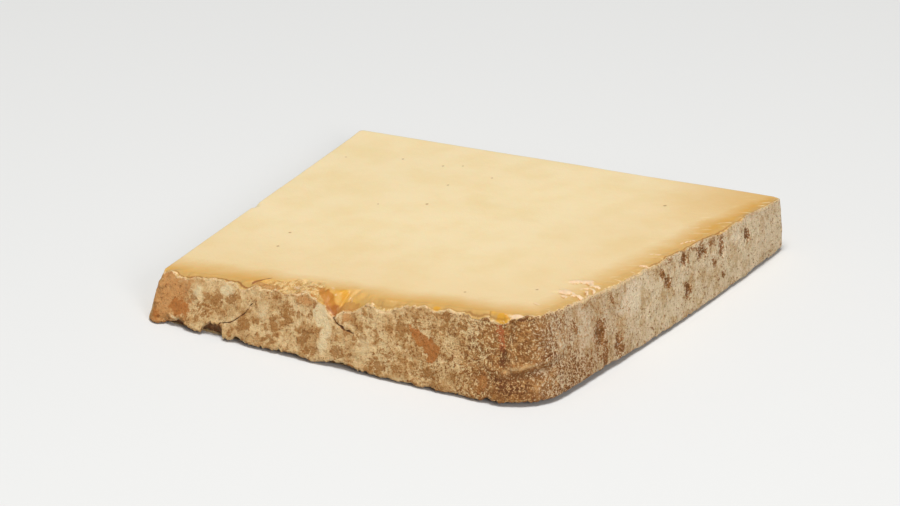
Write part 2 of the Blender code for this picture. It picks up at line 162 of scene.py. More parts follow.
@dataclass(frozen=True)
class Noise:
    """Noise that comes out the same on every run."""

    seed: int = 41
    spot_reach: float = 0.45

    def lattice(self, cells: Array, layer: int) -> Array:
        """Gives each whole-number point of a lattice a number from -1 to 1.

        The three whole numbers and the layer are multiplied by large odd numbers, added up and
        scrambled by shifts and products.

        Args:
            cells: The points, three numbers each.
            layer: Which one of many such lattices.

        Returns:
            One number for each point.
        """
        h = (cells.astype(np.int64) * PLACE_FACTORS).sum(axis=-1) + (self.seed + layer) * LAYER_FACTOR
        for shift, factor, more in SCRAMBLES:
            h = (h ^ (h >> shift)) & WORD
            h = (h * factor + more) & WORD
        return ((h >> 8) & LOW_BITS) / (LOW_BITS / 2.0) - 1.0

    def at(self, points: Array, length: float, layer: int) -> Array:
        """Smooth noise between -1 and 1: the eight lattice numbers round a point, eased together.

        Args:
            points: The points in space.
            length: The distance over which the noise changes.
            layer: Which lattice is read.

        Returns:
            One number for each point.
        """
        q = points / length
        low = np.floor(q)
        f = q - low
        f = f * f * f * (f * (f * 6.0 - 15.0) + 10.0)
        total = np.zeros(q.shape[:-1])
        for corner in np.ndindex(2, 2, 2):
            step = np.array(corner)
            weight = np.prod(np.where(step, f, 1.0 - f), axis=-1)
            total = total + weight * self.lattice(low + step, layer)
        return total

    def rough(self, points: Array, texture: Texture) -> Array:
        """Noise with finer layers on it, each of half the length and half the height.

        Args:
            points: The points in space.
            texture: The length and lattice of the coarsest layer, and the number of layers.

        Returns:
            One number for each point.
        """
        length, layer, layers = texture.value
        parts = [self.at(points, length / 2**k, layer + k) / 2**k for k in range(layers)]
        return np.sum(parts, axis=0)

    def share(self, points: Array, texture: Texture, swing: float) -> Array:
        """Noise as a share of 1 that goes down by up to twice the swing."""
        return 1.0 - swing + swing * self.rough(points, texture)

    def crumbs(self, points: Array, texture: Texture) -> tuple[Array, Array, Array]:
        """Splits space into uneven crumbs, one round a random spot in each cell of a lattice.

        Args:
            points: The points in space.
            texture: The size of a crumb, and the first of the three lattices that place the spots.

        Returns:
            The distance from the nearest spot and how much further the next one is, both in crumb
            sizes, and a number from -1 to 1 that the whole crumb shares.
        """
        length, layer, _ = texture.value
        q = points / length
        low = np.floor(q)
        near = np.full(q.shape[:-1], np.inf)
        after = near.copy()
        mark = np.zeros(near.shape)
        for step in np.ndindex(3, 3, 3):
            cell = low + np.array(step) - 1.0
            shift = np.stack([self.lattice(cell, layer + k) for k in range(3)], axis=-1)
            gap = np.linalg.norm(q - cell - 0.5 - self.spot_reach * shift, axis=-1)
            closer = gap < near
            after = np.where(closer, near, np.minimum(after, gap))
            mark = np.where(closer, shift[..., 0], mark)
            near = np.where(closer, gap, near)
        return near, after - near, mark


# Features of the faces


class Face(Enum):
    """The faces that carry marks: the two rind faces and the cut face on top."""

    FRONT = "front"
    RIGHT = "right"
    TOP = "top"


class Tint(Enum):
    """The colours that a mark can give. The value names the mesh attribute."""

    TAN = "tan"
    BROWN = "brown"
    BLUSH = "blush"
    CHALK = "chalk"
    WARM = "warm"
    RUST = "rust"
    DEEP = "deep"


@dataclass(frozen=True)
class Notch:
    """A dip in an edge, with its place and its two half widths along the face."""

    at: float
    left: float
    right: float
    depth: float
    power: float = 2.0

    def dip(self, along: Array) -> Array:
        """The depth at places along the face: depth (1 - q squared) to a power."""
        half = np.where(along < self.at, self.left, self.right)
        q = np.clip(np.abs(along - self.at) / half, 0.0, 1.0)
        return self.depth * (1.0 - q * q) ** self.power


@dataclass(frozen=True)
class Crack:
    """A crack in the front rind: its corners as (along, up), its depth and its half width."""

    path: tuple[Pair, ...]
    depth: float
    width: float

    def nearest(self, along: Array, up: Array) -> tuple[Array, Array]:
        """Finds the nearest place on the path.

        Each stretch is met at the foot of the perpendicular, kept within its ends.

        Args:
            along: Places along the face.
            up: Heights.

        Returns:
            The nearest place as (along, up), and its distance.
        """
        best = np.full(along.shape, np.inf)
        place = np.zeros(along.shape + (2,))
        here = np.stack([along, up], axis=-1)
        for start, end in zip(self.path[:-1], self.path[1:]):
            first = np.array(start)
            run = np.array(end) - first
            q = np.clip(((here - first) @ run) / (run @ run), 0.0, 1.0)
            spot = first + q[..., None] * run
            gap = np.linalg.norm(here - spot, axis=-1)
            closer = gap < best
            best = np.where(closer, gap, best)
            place = np.where(closer[..., None], spot, place)
        return place, best


@dataclass(frozen=True)
class Spot:
    """A soft oval mark or pit, which may lean. On the top its place is x and y in plan.

    The strength is that of a mark's colour, or the depth of a pit.
    """

    at: float
    up: float
    half_at: float
    half_up: float
    strength: float = 1.0
    lean: float = 0.0

    def cover(self, along: Array, up: Array, ragged: Array) -> Array:
        """How much of the mark there is: 1 - q squared, its edge bent by noise.

        Args:
            along: Places along the face.
            up: Heights.
            ragged: How much the edge is moved in or out.

        Returns:
            A number from 0 to 1 for each place.
        """
        across, rise = along - self.at - self.lean * (up - self.up), up - self.up
        q = (across / self.half_at) ** 2 + (rise / self.half_up) ** 2
        return np.clip(1.0 - q + ragged, 0.0, 1.0)


@dataclass(frozen=True)
class Flap:
    """A torn flap of the cut face: its middle in plan, half sizes, turn, lift and bend.

    The values that all flaps share say where its top stops, where its torn edge begins and ends,
    and where the hollow past it is. Across a flap they count in half widths from its middle.
    """

    x: float
    y: float
    half_long: float
    half_wide: float
    turn: float
    lift: float
    bend: float
    stops: ClassVar[Pair] = (1.12, 0.92)
    torn_ends: ClassVar[Pair] = (0.05, 0.5)
    torn_near: ClassVar[Pair] = (-0.5, 0.5)
    torn_far: ClassVar[Pair] = (1.3, 1.05)
    hollow_at: ClassVar[float] = 1.45
    hollow_width: ClassVar[float] = 0.42

    def local(self, xy: Array) -> tuple[Array, Array]:
        """Plan points as distances along and across the flap, in its half sizes.

        The distance across is less by the square of the one along, so that the near edge, at 1,
        is an arch.
        """
        angle = math.radians(self.turn)
        along = np.array([math.cos(angle), math.sin(angle)])
        across = np.array([math.sin(angle), -math.cos(angle)])
        from_middle = xy - np.array([self.x, self.y])
        u = from_middle @ along / self.half_long
        return u, from_middle @ across / self.half_wide - self.bend * np.minimum(u * u, 1.0)

    def rise(self, xy: Array, ragged: Array) -> tuple[Array, Array, Array]:
        """The flap's height: it rises to its near edge and ends there over a hollow.

        The rise grows evenly across the flap and stops at the edge. The hollow is a bell just past
        the edge. Both fade towards the flap's two ends as 1 - u squared.

        Args:
            xy: Plan points.
            ragged: How much the near edge is moved.

        Returns:
            How far the flap stands up, how deep the hollow past it is, and how much of its pale
            torn edge there is.
        """
        u, v = self.local(xy)
        v = v + ragged
        ends = fade(u * u, 1.0)
        up = self.lift * ends * np.clip(0.5 + 0.5 * v, 0.0, 1.0) * smooth(v, *self.stops)
        torn = smooth(ends, *self.torn_ends) * smooth(v, *self.torn_near) * smooth(v, *self.torn_far)
        return up, ends * bell(v - self.hollow_at, self.hollow_width), torn


@dataclass
class Ring:
    """One ring of the skin: its points, their columns, and numbers that they carry, by name."""

    points: Array
    columns: Array
    notes: dict[str, Array]

    def note(self, name: str) -> Array:
        """One of the numbers at every point, or 0 where the ring doesn't carry it."""
        return np.broadcast_to(self.notes.get(name, 0.0), len(self.points))


# The shape of the slab


@dataclass
class Relief:
    """The forms that stand on the faces, from lumps down to grain.

    Each size of chip has its texture, its rise, and the depth and width of the cuts round it.
    """

    front_lumps: float = 0.75
    right_lumps: float = 0.35
    cut_lumps: float = 0.2
    edge_lumps: float = 0.25
    top_waves: float = 0.3
    grain: float = 0.26
    grain_swing: float = 0.4
    corner_grain: float = 0.4
    knob_radius: float = 0.55
    knob_swing: float = 0.5
    rim_teeth: float = 0.42
    right_teeth: float = 0.6
    calm_drops: Pair = (3.5, 7.0)
    calm_share: float = 0.7
    foot_teeth: float = 1.3
    foot_swing: float = 0.4
    pit_edge: float = 0.5
    pit_power: float = 1.5
    dark_pit: float = 0.5
    slope_ragged: float = 0.12
    worn_ragged: float = 0.2
    crumb_depth: float = 1.0
    crumb_swing: float = 0.5
    chips: float = 0.7
    chip_stretch: float = 2.0
    chip_sizes: tuple[tuple[Texture, float, float, float], ...] = (
        (Texture.CHIPS, 0.7, 0.9, 0.2), (Texture.SMALL_CHIPS, 0.35, 0.3, 0.25)
    )
    scoop_rubble: float = 0.2
    scarp: float = 0.35
    scarp_width: float = 0.14
    rubble_edge: float = 0.25
    groove: float = 0.8
    groove_inward: float = 1.1
    groove_width: float = 0.45
    groove_swing: float = 0.35
    jag_reach: float = 2.2
    tooth_reach: float = 0.9
    dip_bend: float = 3.6
    dip_bend_reach: float = 4.0
    dip_spread: float = 3.2
    dip_spread_rate: float = 0.55
    dip_reads: int = 9
    flap_ragged: float = 0.6
    flap_hollow: float = 0.7
    lip: float = 0.5
    lip_width: float = 0.09


@dataclass
class SlabForm:
    """The slab's form: a flat-topped block that thins away from one rounded corner.

    Corner values go left, front, right, back. The rim is the edge of the cut face on top and the
    foot is the edge of the underside. The mesh is made of rings with one point in each column.
    """

    rim_corners: Array = table((-100.6, -97.0), (97.6, -99.2), (118.6, 109.4), (-117.8, 114.3))
    foot_corners: Array = table((-102.2, -113.2), (106.4, -113.2), (119.8, 110.4), (-118.0, 115.0))
    thickness: Array = table(20.8, 41.0, 26.7, 13.0)
    rim_radius: Array = table(2.0, 10.0, 2.5, 2.0)
    foot_radius: Array = table(7.0, 26.0, 3.0, 2.0)
    box_middle: Pair = (0.9999, 0.3097)

    front_swell: float = 2.0
    right_swell: float = 3.0
    belly: float = 0.8
    flat_inset_rind: float = 7.0
    flat_inset_cut: float = 1.2
    flat_radius_less: float = 5.0
    smallest_radius: float = 1.5
    edge_round: float = 1.4
    cut_round: float = 0.35
    left_round: float = 0.8
    left_round_reach: float = 9.0
    undercut_power: float = 0.6
    rind_lift: float = 0.5
    cut_lift: float = 0.25
    lift_ragged: float = 0.35
    smooth_left: float = 9.0
    corner_lift: float = 0.8
    corner_lift_reach: float = 26.0
    front_rim_drop: float = 1.3
    right_rim_drop: float = 0.35
    front_ragged: float = 0.9
    right_ragged: float = 0.5

    side_columns: tuple[int, ...] = (324, 324, 148, 132)
    arc_columns: tuple[int, ...] = (14, 52, 18, 12)
    wall_levels: int = 52
    edge_angles: tuple[float, ...] = (15.0, 45.0, 75.0)
    undercut_shares: tuple[float, ...] = (0.25, 0.5, 0.75)
    under_mark: float = -60.0
    # Share of painted shade on the rounded lower edge; the underside has it in full.
    edge_under: float = 0.3
    top_insets: tuple[float, ...] = (
        0.4, 0.8, 1.2, 1.6, 2.0, 2.5, 3.1, 3.8, 4.6, 5.5, 6.5, 7.5, 8.6, 9.8, 11.0, 12.4, 14.0, 16.0
    )
    cap_rings: tuple[tuple[int, float], ...] = (
        (1, 0.98), (2, 0.955), (2, 0.92), (4, 0.88), (4, 0.83), (4, 0.77), (8, 0.7), (8, 0.62),
        (8, 0.53), (16, 0.43), (16, 0.33), (32, 0.22), (64, 0.1),
    )

    front_dips: tuple[Notch, ...] = rows(
        Notch,
        (4.5, 6.0, 5.5, -1.0), (14.0, 3.5, 3.5, 0.8), (44.8, 3.0, 8.0, 3.1), (70.5, 9.0, 4.0, 2.2),
        (89.0, 12.0, 6.0, 2.0), (97.0, 13.0, 4.5, 4.0), (104.5, 13.0, 7.6, 5.8, 0.5),
        (112.5, 2.0, 3.0, 1.7), (121.5, 8.0, 10.5, 4.2), (148.0, 3.2, 3.0, 0.7), (170.0, 9.0, 9.5, 2.6),
        (176.3, 2.6, 2.6, 0.9), (181.8, 6.0, 4.8, 3.9, 0.6), (195.5, 6.0, 6.0, -1.9),
    )
    right_dips: tuple[Notch, ...] = rows(
        Notch,
        (60.0, 60.0, 60.0, 1.1, 1.0), (151.0, 12.0, 15.0, 1.4), (181.0, 13.0, 16.0, -1.1),
    )
    front_hollows: tuple[Notch, ...] = rows(
        Notch,
        (1.0, 7.0, 6.0, -0.45, 1.0), (13.5, 8.0, 12.0, 1.7), (33.7, 6.4, 6.4, 5.2, 0.5),
        (48.0, 4.0, 8.0, 1.2), (81.0, 6.0, 6.0, 1.0), (105.0, 14.0, 16.0, 1.6), (156.0, 4.0, 4.0, 0.9),
        (187.5, 4.5, 3.5, 1.2),
    )
    right_hollow: Notch = Notch(28.0, 40.0, 70.0, 1.6)
    slope_width: float = 2.6
    slope_curve: float = 1.2
    crumble: Notch = Notch(70.0, 27.0, 25.0, 10.0)
    scoop: Notch = Notch(99.0, 12.0, 16.0, 6.5)
    back_chip: Notch = Notch(219.0, 7.0, 6.0, 0.9)
    left_chip: Notch = Notch(93.0, 4.0, 5.0, 1.1)
    back_from: float = 190.0

    cracks: tuple[Crack, ...] = (
        Crack(((53.4, 20.0), (52.3, 17.2), (49.5, 13.7), (46.1, 10.6), (41.4, 8.1), (33.0, 5.8)), 0.8, 0.36),
        Crack(((96.6, 21.5), (101.9, 18.7), (105.0, 17.7), (110.0, 16.6)), 1.0, 0.42),
    )
    corner_front: Pair = (150.0, 190.0)
    corner_right: tuple[Pair, ...] = ((-8.0, 10.0), (12.0, 40.0))
    corner_groove: Crack = Crack(((187.5, 36.5), (188.3, 27.0), (189.5, 16.5)), 1.5, 2.4)
    crack_pull: float = 0.72
    crack_reach: float = 3.2
    crack_wiggle: float = 0.55
    crack_open: Pair = (-1.2, -0.4)

    pits: tuple[tuple[Face, tuple[Spot, ...]], ...] = (
        (Face.FRONT, rows(
            Spot,
            (-1.0, 13.0, 7.0, 8.5, -1.3), (13.0, 2.0, 9.0, 3.4, 2.2), (48.0, 1.5, 4.0, 2.6, 1.2),
            (141.5, 22.3, 4.6, 3.0, 0.4, -0.9), (151.5, 16.8, 4.2, 6.0, 0.4, -0.25),
        )),
        (Face.RIGHT, rows(
            Spot,
            (42.0, 18.5, 3.8, 6.5, 1.2), (55.0, 8.5, 3.4, 5.5, 0.8), (100.4, 23.2, 3.4, 4.2, 0.8),
            (117.1, 13.8, 3.6, 5.5, 0.9), (116.4, 28.0, 4.2, 3.6, 0.9), (132.2, 26.6, 5.0, 3.4, 0.9),
            (149.5, 21.5, 3.2, 6.0, 0.8), (173.4, 20.5, 3.6, 4.2, 0.7),
        )),
    )

    ridge_from: float = 180.0
    ridge_full: float = 192.0
    ridge_height: float = 15.5
    ridge_rise_front: float = 0.16
    ridge_rise_right: float = 0.35
    ridge_end: float = 22.0
    ridge_width: float = 1.9
    ridge_out: float = 0.9
    hollow_in: float = 1.1
    hollow_below: float = 2.2
    hollow_spread: float = 2.2

    flaps: tuple[Flap, ...] = rows(
        Flap,
        (93.4, -59.4, 6.0, 2.6, -12.0, 1.1, 0.5), (101.4, -63.2, 4.0, 1.4, -26.0, 0.9, 0.3),
        (89.4, -43.9, 5.0, 1.9, 30.0, 0.9, 0.3), (97.0, -43.6, 5.4, 2.0, -32.0, 1.1, 0.5),
        (89.0, -56.5, 4.0, 0.7, 8.0, 0.3, 0.4), (98.4, -52.4, 3.2, 1.2, 24.0, 0.6, 0.4),
        (101.8, -57.6, 2.8, 1.1, -48.0, 0.6, 0.6), (101.4, -48.0, 3.0, 1.0, -8.0, 0.6, 0.4),
        (95.2, -66.6, 3.2, 1.0, -30.0, 0.5, 0.4), (103.4, -53.5, 3.5, 0.9, -40.0, 0.4, 0.8),
        (88.2, -81.0, 3.4, 0.6, -14.0, 0.3, 0.6), (1.2, -96.8, 2.6, 0.8, -34.0, 0.6, 0.4),
        (108.6, 28.0, 5.0, 0.7, 62.0, 0.3, 0.3), (107.0, -12.0, 4.0, 0.6, 40.0, 0.2, 0.3),
        (104.5, 5.0, 3.4, 0.6, 15.0, 0.2, 0.3),
    )
    front_lining: tuple[Pair, ...] = (
        (0.0, 0.5), (18.0, 1.0), (48.0, 1.0), (60.0, 0.5),
        (110.0, 0.25), (150.0, 0.25), (166.0, 0.7), (200.0, 0.1),
    )
    right_lining: tuple[Pair, ...] = (
        (0.0, 0.05), (80.0, 0.1), (98.0, 0.8), (150.0, 0.8), (165.0, 0.4), (209.0, 0.4)
    )
    relief: Relief = field(default_factory=Relief)
    noise: Noise = field(default_factory=Noise)

    def __post_init__(self) -> None:
        """Works out the outline: the place, direction and kind of face of every column."""
        run = directions(self.rim_corners)
        lengths = np.linalg.norm(np.roll(self.rim_corners, -1, axis=0) - self.rim_corners, axis=1)
        self.front, self.right = run[0], run[1]
        x, y = self.rim_corners[:, 0], self.rim_corners[:, 1]
        self.plane = np.linalg.solve(np.stack([np.ones(4), x, y, x * y], axis=1), self.thickness)
        self.foot, self.foot_out = self.ring(self.foot_corners, self.foot_radius)
        self.rim, self.rim_out = self.ring(self.rim_corners, self.rim_radius)
        self.along_front, self.along_right = self.along(self.rim)
        self.along_left = (self.rim - self.rim_corners[0]) @ self.right
        self.is_front, self.is_right = (
            np.clip(-self.rim_out @ left_of(way), 0.0, 1.0) ** 2 for way in (self.front, self.right)
        )
        self.is_rind = np.clip(self.is_front + self.is_right, 0.0, 1.0)
        self.is_cut = 1.0 - self.is_rind
        swell = self.front_swell * arch(self.along_front, lengths[0]) * self.is_front
        swell = swell + self.right_swell * arch(self.along_right, lengths[1]) * self.is_right
        self.swell = swell[:, None]
        self.foot = self.foot + self.foot_out * self.swell
        self.rim = self.rim + self.rim_out * self.swell
        self.top = self.height(self.rim)
        self.drop, self.jag, self.teeth = self.rim_drop()
        self.rim_fall = self.drop + self.jag + self.teeth
        self.lift = self.foot_lift()

    def along(self, xy: Array) -> tuple[Array, Array]:
        """Plan points as distances along the front from its left end and along the right side."""
        return (xy - self.rim_corners[0]) @ self.front, (xy - self.rim_corners[1]) @ self.right

    def inset(self, corners: Array, amounts: Array) -> Array:
        """Moves each side of a shape in and finds where the moved sides meet.

        Args:
            corners: The shape's corners.
            amounts: How far each side moves.

        Returns:
            The corners of the smaller shape.
        """
        run = directions(corners)
        start = corners + left_of(run) * amounts[:, None]
        out = []
        for k in range(len(corners)):
            across = np.stack([run[k - 1], -run[k]], axis=1)
            reach = np.linalg.solve(across, start[k] - start[k - 1])[0]
            out.append(start[k - 1] + run[k - 1] * reach)
        return np.array(out)

    def ring(self, corners: Array, radii: Array) -> tuple[Array, Array]:
        """Points round a shape with rounded corners: even steps on each side, then on each arc.

        Args:
            corners: The shape's corners.
            radii: The radius of each corner.

        Returns:
            The points and the outward direction at each one.
        """
        points, outs = [], []
        run = directions(corners)
        outward = -left_of(run)
        angle = np.arctan2(outward[:, 1], outward[:, 0])
        turn = (np.roll(angle, -1) - angle) % (2.0 * math.pi)
        for k, count in enumerate(self.side_columns):
            ahead = (k + 1) % len(corners)
            first = corners[k] + run[k] * radii[k] * math.tan(turn[k - 1] / 2.0)
            last = corners[ahead] - run[k] * radii[ahead] * math.tan(turn[k] / 2.0)
            share = np.linspace(0.0, 1.0, count, endpoint=False)[:, None]
            points.append(first + (last - first) * share)
            outs.append(np.repeat(outward[k : k + 1], count, axis=0))
            steps = self.arc_columns[ahead]
            theta = angle[k] + turn[k] * np.arange(steps) / steps
            around = np.stack([np.cos(theta), np.sin(theta)], axis=1)
            points.append(last - outward[k] * radii[ahead] + around * radii[ahead])
            outs.append(around)
        return np.concatenate(points), np.concatenate(outs)

    def height(self, xy: Array) -> Array:
        """The cut face on top: a + b x + c y + d x y, with very slight waves."""
        x, y = xy[..., 0], xy[..., 1]
        flat = self.plane[0] + self.plane[1] * x + self.plane[2] * y + self.plane[3] * x * y
        return flat + self.relief.top_waves * self.noise.rough(on_ground(xy), Texture.TOP_WAVES)

    def mix(self, front: Array | float, right: Array | float, cut: Array | float) -> Array:
        """One value for each column from the values of the three kinds of face."""
        return front * self.is_front + right * self.is_right + cut * self.is_cut

    def rim_drop(self) -> tuple[Array, Array, Array]:
        """How far the rim lies below the cut face.

        Returns:
            The even drop with the dips, the ragged part of it, and the fine teeth.
        """
        rim, sizes = on_ground(self.rim), self.relief
        jag = self.noise.rough(rim, Texture.RIM_RAGGED)
        teeth = sizes.rim_teeth * self.noise.rough(rim, Texture.RIM_TEETH)
        front = self.front_rim_drop + sum(dip.dip(self.along_front) for dip in self.front_dips)
        right = self.right_rim_drop + sum(dip.dip(self.along_right) for dip in self.right_dips)
        at_back = self.along_left > self.back_from
        back = self.back_chip.dip(self.along_front)
        left = self.left_chip.dip(self.along_left)
        drop = self.mix(front, right, np.where(at_back, back, left))
        calm = 1.0 - sizes.calm_share * smooth(drop, *sizes.calm_drops)
        ragged = self.mix(self.front_ragged, self.right_ragged, 0.0) * jag
        return drop, ragged * calm, self.mix(1.0, sizes.right_teeth, 0.0) * teeth * calm

    def foot_lift(self) -> Array:
        """How far the lower edge is off the ground: a ragged lift, the dips and fine teeth."""
        foot = on_ground(self.foot)
        jag = self.lift_ragged * (1.0 + self.noise.rough(foot, Texture.FOOT_RAGGED))
        teeth = np.abs(self.noise.rough(foot, Texture.FOOT_TEETH))
        teeth = teeth * self.noise.share(foot, Texture.FOOT_TEETH_SHARE, self.relief.foot_swing)
        jag = jag + self.relief.foot_teeth * teeth
        corner = np.linalg.norm(self.foot - self.foot_corners[1], axis=1)
        jag = jag * np.clip(self.along_front / self.smooth_left, 0.0, 1.0)
        rind = self.rind_lift + jag + self.corner_lift * fade(corner, self.corner_lift_reach)
        front = sum(hollow.dip(self.along_front) for hollow in self.front_hollows)
        return self.mix(rind + front, rind + self.right_hollow.dip(self.along_right), self.cut_lift)

    def ridge(self, along: Array, up: Array) -> tuple[Array, Array]:
        """The ridge round the front corner: a bell along a rising line and a hollow bell under it.

        Args:
            along: Places along the front.
            up: Heights.

        Returns:
            How much of the ridge and how much of the hollow there is.
        """
        beyond = np.maximum(self.along_right, 0.0)
        line = self.ridge_height + self.ridge_rise_front * (along - self.ridge_from)
        line = line + self.ridge_rise_right * beyond
        here = np.clip((along - self.ridge_from) / (self.ridge_full - self.ridge_from), 0.0, 1.0)
        here = here * fade(beyond, self.ridge_end) * self.is_rind
        q = (up - line) / self.ridge_width
        return here * np.exp(-q * q), here * np.exp(-((q + self.hollow_below) ** 2) / self.hollow_spread)

    def corner_share(self, along_front: Array, along_right: Array) -> Array:
        """How much a place belongs to the granular brown zone round the front corner."""
        past = np.mean([smooth(along_right, *ends) for ends in self.corner_right], axis=0)
        return smooth(along_front, *self.corner_front) * (1.0 - past)

    def wall(self, up: Array) -> tuple[Array, dict[str, Array]]:
        """The side faces, as points at heights for each column.

        A point stands between foot and rim as its height does between ground and cut face. It is
        then pushed out or in by lumps, belly, grain, cracks, pits and the ridge. Round a crack the
        columns are drawn towards it, so that the mesh follows it.

        Args:
            up: Heights, one row for each level.

        Returns:
            The points, and how much of a crack, a pit, the ridge and its hollow is at each one.
        """
        sizes = self.relief
        along = np.broadcast_to(self.along_front, up.shape)
        level = np.stack([along, np.zeros(up.shape), up], axis=-1)
        bend_along = self.crack_wiggle * self.noise.rough(level, Texture.CRACK_ALONG)
        bend_up = self.crack_wiggle * self.noise.rough(level, Texture.CRACK_UP)
        shift, groove, depth, pitted = (np.zeros(up.shape) for _ in range(4))
        on_front = self.is_front > 0.5
        open_share = smooth(self.noise.rough(level, Texture.CRACK_OPEN), *self.crack_open)
        for crack in self.cracks:
            place, gap = crack.nearest(along + bend_along, up + bend_up)
            pull = self.crack_pull * bell(gap, self.crack_reach) * on_front
            moved = pull * (place[..., 0] - along - bend_along)
            up = up + pull * (place[..., 1] - up - bend_up)
            along = along + moved
            shift = shift + moved
            cut = fade(gap * (1.0 - pull), crack.width) * on_front * open_share
            groove = groove + crack.depth * cut
            depth = np.maximum(depth, cut)
        _, gap = self.corner_groove.nearest(along, up)
        groove = groove + self.corner_groove.depth * fade(gap, self.corner_groove.width)
        share = np.clip(up / self.top, 0.0, 1.0)
        rise = share[..., None]
        plan = self.foot + (self.rim - self.foot) * rise + self.front * shift[..., None]
        out = self.foot_out + (self.rim_out - self.foot_out) * rise
        out = out / np.linalg.norm(out, axis=-1)[..., None]
        spot = np.concatenate([plan, up[..., None]], axis=-1)
        bow = 4.0 * share * (1.0 - share)
        push = self.lumps(spot, bow) + self.belly * self.is_rind * bow
        crest, hollow = self.ridge(along, up)
        push = push - groove * self.is_front + self.ridge_out * crest - self.hollow_in * hollow
        push = push + self.grain(spot)
        ragged = sizes.pit_edge * self.noise.rough(spot, Texture.PIT_EDGE)
        along = dict(zip(Face, self.along(plan)))
        on_face = {Face.FRONT: self.is_front, Face.RIGHT: self.is_right}
        for face, pits in self.pits:
            for pit in pits:
                hole = pit.cover(along[face], up, ragged) ** sizes.pit_power * on_face[face]
                push = push - pit.strength * hole
                pitted = np.maximum(pitted, hole * (pit.strength > sizes.dark_pit))
        # The finish paints a highlight on the ridge's crest and shade in its hollow.
        notes = {"depth": depth, "pitted": pitted, "crest": crest, "hollow": hollow}
        return np.concatenate([plan + out * push[..., None], up[..., None]], axis=-1), notes

    def lumps(self, spot: Array, bow: Array) -> Array:
        """The broad lumps of a face, which fade at its two edges."""
        size = self.mix(self.relief.front_lumps, self.relief.right_lumps, self.relief.cut_lumps)
        return size * self.noise.rough(spot, Texture.LUMPS) * np.minimum(1.0, bow + self.relief.edge_lumps)

    def grain(self, spot: Array) -> Array:
        """The fine grain of the rind, coarse and knobbly round the front corner.

        Args:
            spot: Points of the side faces.

        Returns:
            How far each one is moved out.
        """
        sizes = self.relief
        fine = self.noise.rough(spot, Texture.GRAIN)
        fine = fine * self.noise.share(spot, Texture.GRAIN_SHARE, sizes.grain_swing)
        corner = self.corner_share(*self.along(spot[..., :2]))
        near, _, mark = self.noise.crumbs(spot, Texture.CORNER_GRAIN)
        knobs = (sizes.knob_radius - near) * (1.0 + sizes.knob_swing * mark)
        return self.is_rind * (sizes.grain * fine + sizes.corner_grain * corner * knobs)

    def whole(self, points: Array, **notes: Array | float) -> Ring:
        """A ring with a point in every column."""
        return Ring(points, np.arange(len(points)), notes)

    def side_rings(self) -> list[Ring]:
        """Rings from the flat underside, round the lower edge and up to the rim.

        The underside curves up from the flat by a power of the way out to the lower edge, and the
        lower edge is a quarter circle under the face.

        Returns:
            The rings.
        """
        amounts = np.repeat([self.flat_inset_rind, self.flat_inset_cut], 2)
        radii = np.maximum(self.foot_radius - self.flat_radius_less, self.smallest_radius)
        flat = self.ring(self.inset(self.foot_corners, amounts), radii)[0]
        flat = on_ground(flat + self.foot_out * self.swell)
        rounding = self.mix(self.edge_round, self.edge_round, self.cut_round)
        left = np.linalg.norm(self.foot - self.foot_corners[0], axis=1)
        rounding = rounding + self.left_round * fade(left, self.left_round_reach)
        low = self.lift + rounding
        shares = np.linspace(0.0, 1.0, self.wall_levels)[:, None]
        walls, notes = self.wall(low + (self.top - self.rim_fall - low) * shares)
        edges = []
        for angle in np.radians(self.edge_angles):
            edge = walls[0].copy()
            edge[:, :2] -= self.foot_out * (rounding * (1.0 - math.sin(angle)))[:, None]
            edge[:, 2] = self.lift + rounding * (1.0 - math.cos(angle))
            edges.append(edge)
        slopes = []
        for share in self.undercut_shares:
            slope = flat + (edges[0] - flat) * share
            slope[:, 2] = edges[0][:, 2] * share**self.undercut_power
            slopes.append(slope)
        rind = self.is_rind
        below = {"inward": self.under_mark, "skin": rind}
        # The underside and its slopes carry painted shade in full, the rounded lower edge a share of it.
        rings = [self.whole(flat, inward=self.under_mark, under=1.0)]
        rings += [self.whole(points, under=1.0, **below) for points in slopes]
        rings += [self.whole(points, under=self.edge_under, **below) for points in edges]
        for k, points in enumerate(walls):
            here = {name: values[k] for name, values in notes.items()}
            rings.append(self.whole(points, inward=points[:, 2] - walls[-1][:, 2], skin=rind, **here))
        return rings

    def top_rings(self, rim: Array) -> list[Ring]:
        """Rings from the rim in over the cut face.

        The face falls to the rim by a power of the way left to it. Where it crumbled it first drops
        down a small scarp and breaks into chips, and just inside the rim a thin groove runs.

        Args:
            rim: The points of the rim.

        Returns:
            The rings. They carry how far each point lies below the cut face, how much it is in
            broken paste, and how much it is on a torn edge and in the hollow past one.
        """
        sizes, noise = self.relief, self.noise
        crumbled = self.crumble.dip(self.along_front) * self.is_front
        scooped = self.scoop.dip(self.along_front) * self.is_front
        share, scoop_share = crumbled / self.crumble.depth, scooped / self.scoop.depth
        rubble = np.clip(share + sizes.scoop_rubble * scoop_share, 0.0, 1.0)
        slope = self.slope_width + crumbled + scooped
        slope_ragged = sizes.slope_ragged + sizes.worn_ragged * np.maximum(share, scoop_share)
        scarp = sizes.scarp * share
        last = self.top_insets[-1]
        radii = np.maximum(self.rim_radius - last, self.smallest_radius)
        inner = self.ring(self.inset(self.rim_corners, np.full(len(radii), last)), radii)[0]
        rings = []
        for amount in self.top_insets:
            plan = rim[:, :2] + (inner - rim[:, :2]) * (amount / last)
            ground = on_ground(plan)
            ragged = 1.0 + slope_ragged * noise.rough(ground, Texture.SLOPE)
            left = fade(amount, slope * ragged)
            bend = sizes.dip_bend * min(1.0, amount / sizes.dip_bend_reach)
            shift = bend * noise.rough(ground, Texture.DIP_BEND)
            drop = self.drop_beside(shift, min(sizes.dip_spread, sizes.dip_spread_rate * amount))
            shape = (1.0 - scarp) * left**self.slope_curve + scarp * smooth(left, 0.0, sizes.scarp_width)
            lump = self.chips(np.column_stack([plan, sizes.chip_stretch * drop * shape]))
            inside = smooth(left, 0.0, sizes.rubble_edge) * rubble
            crest = bell(amount - sizes.groove_inward * ragged, sizes.groove_width)
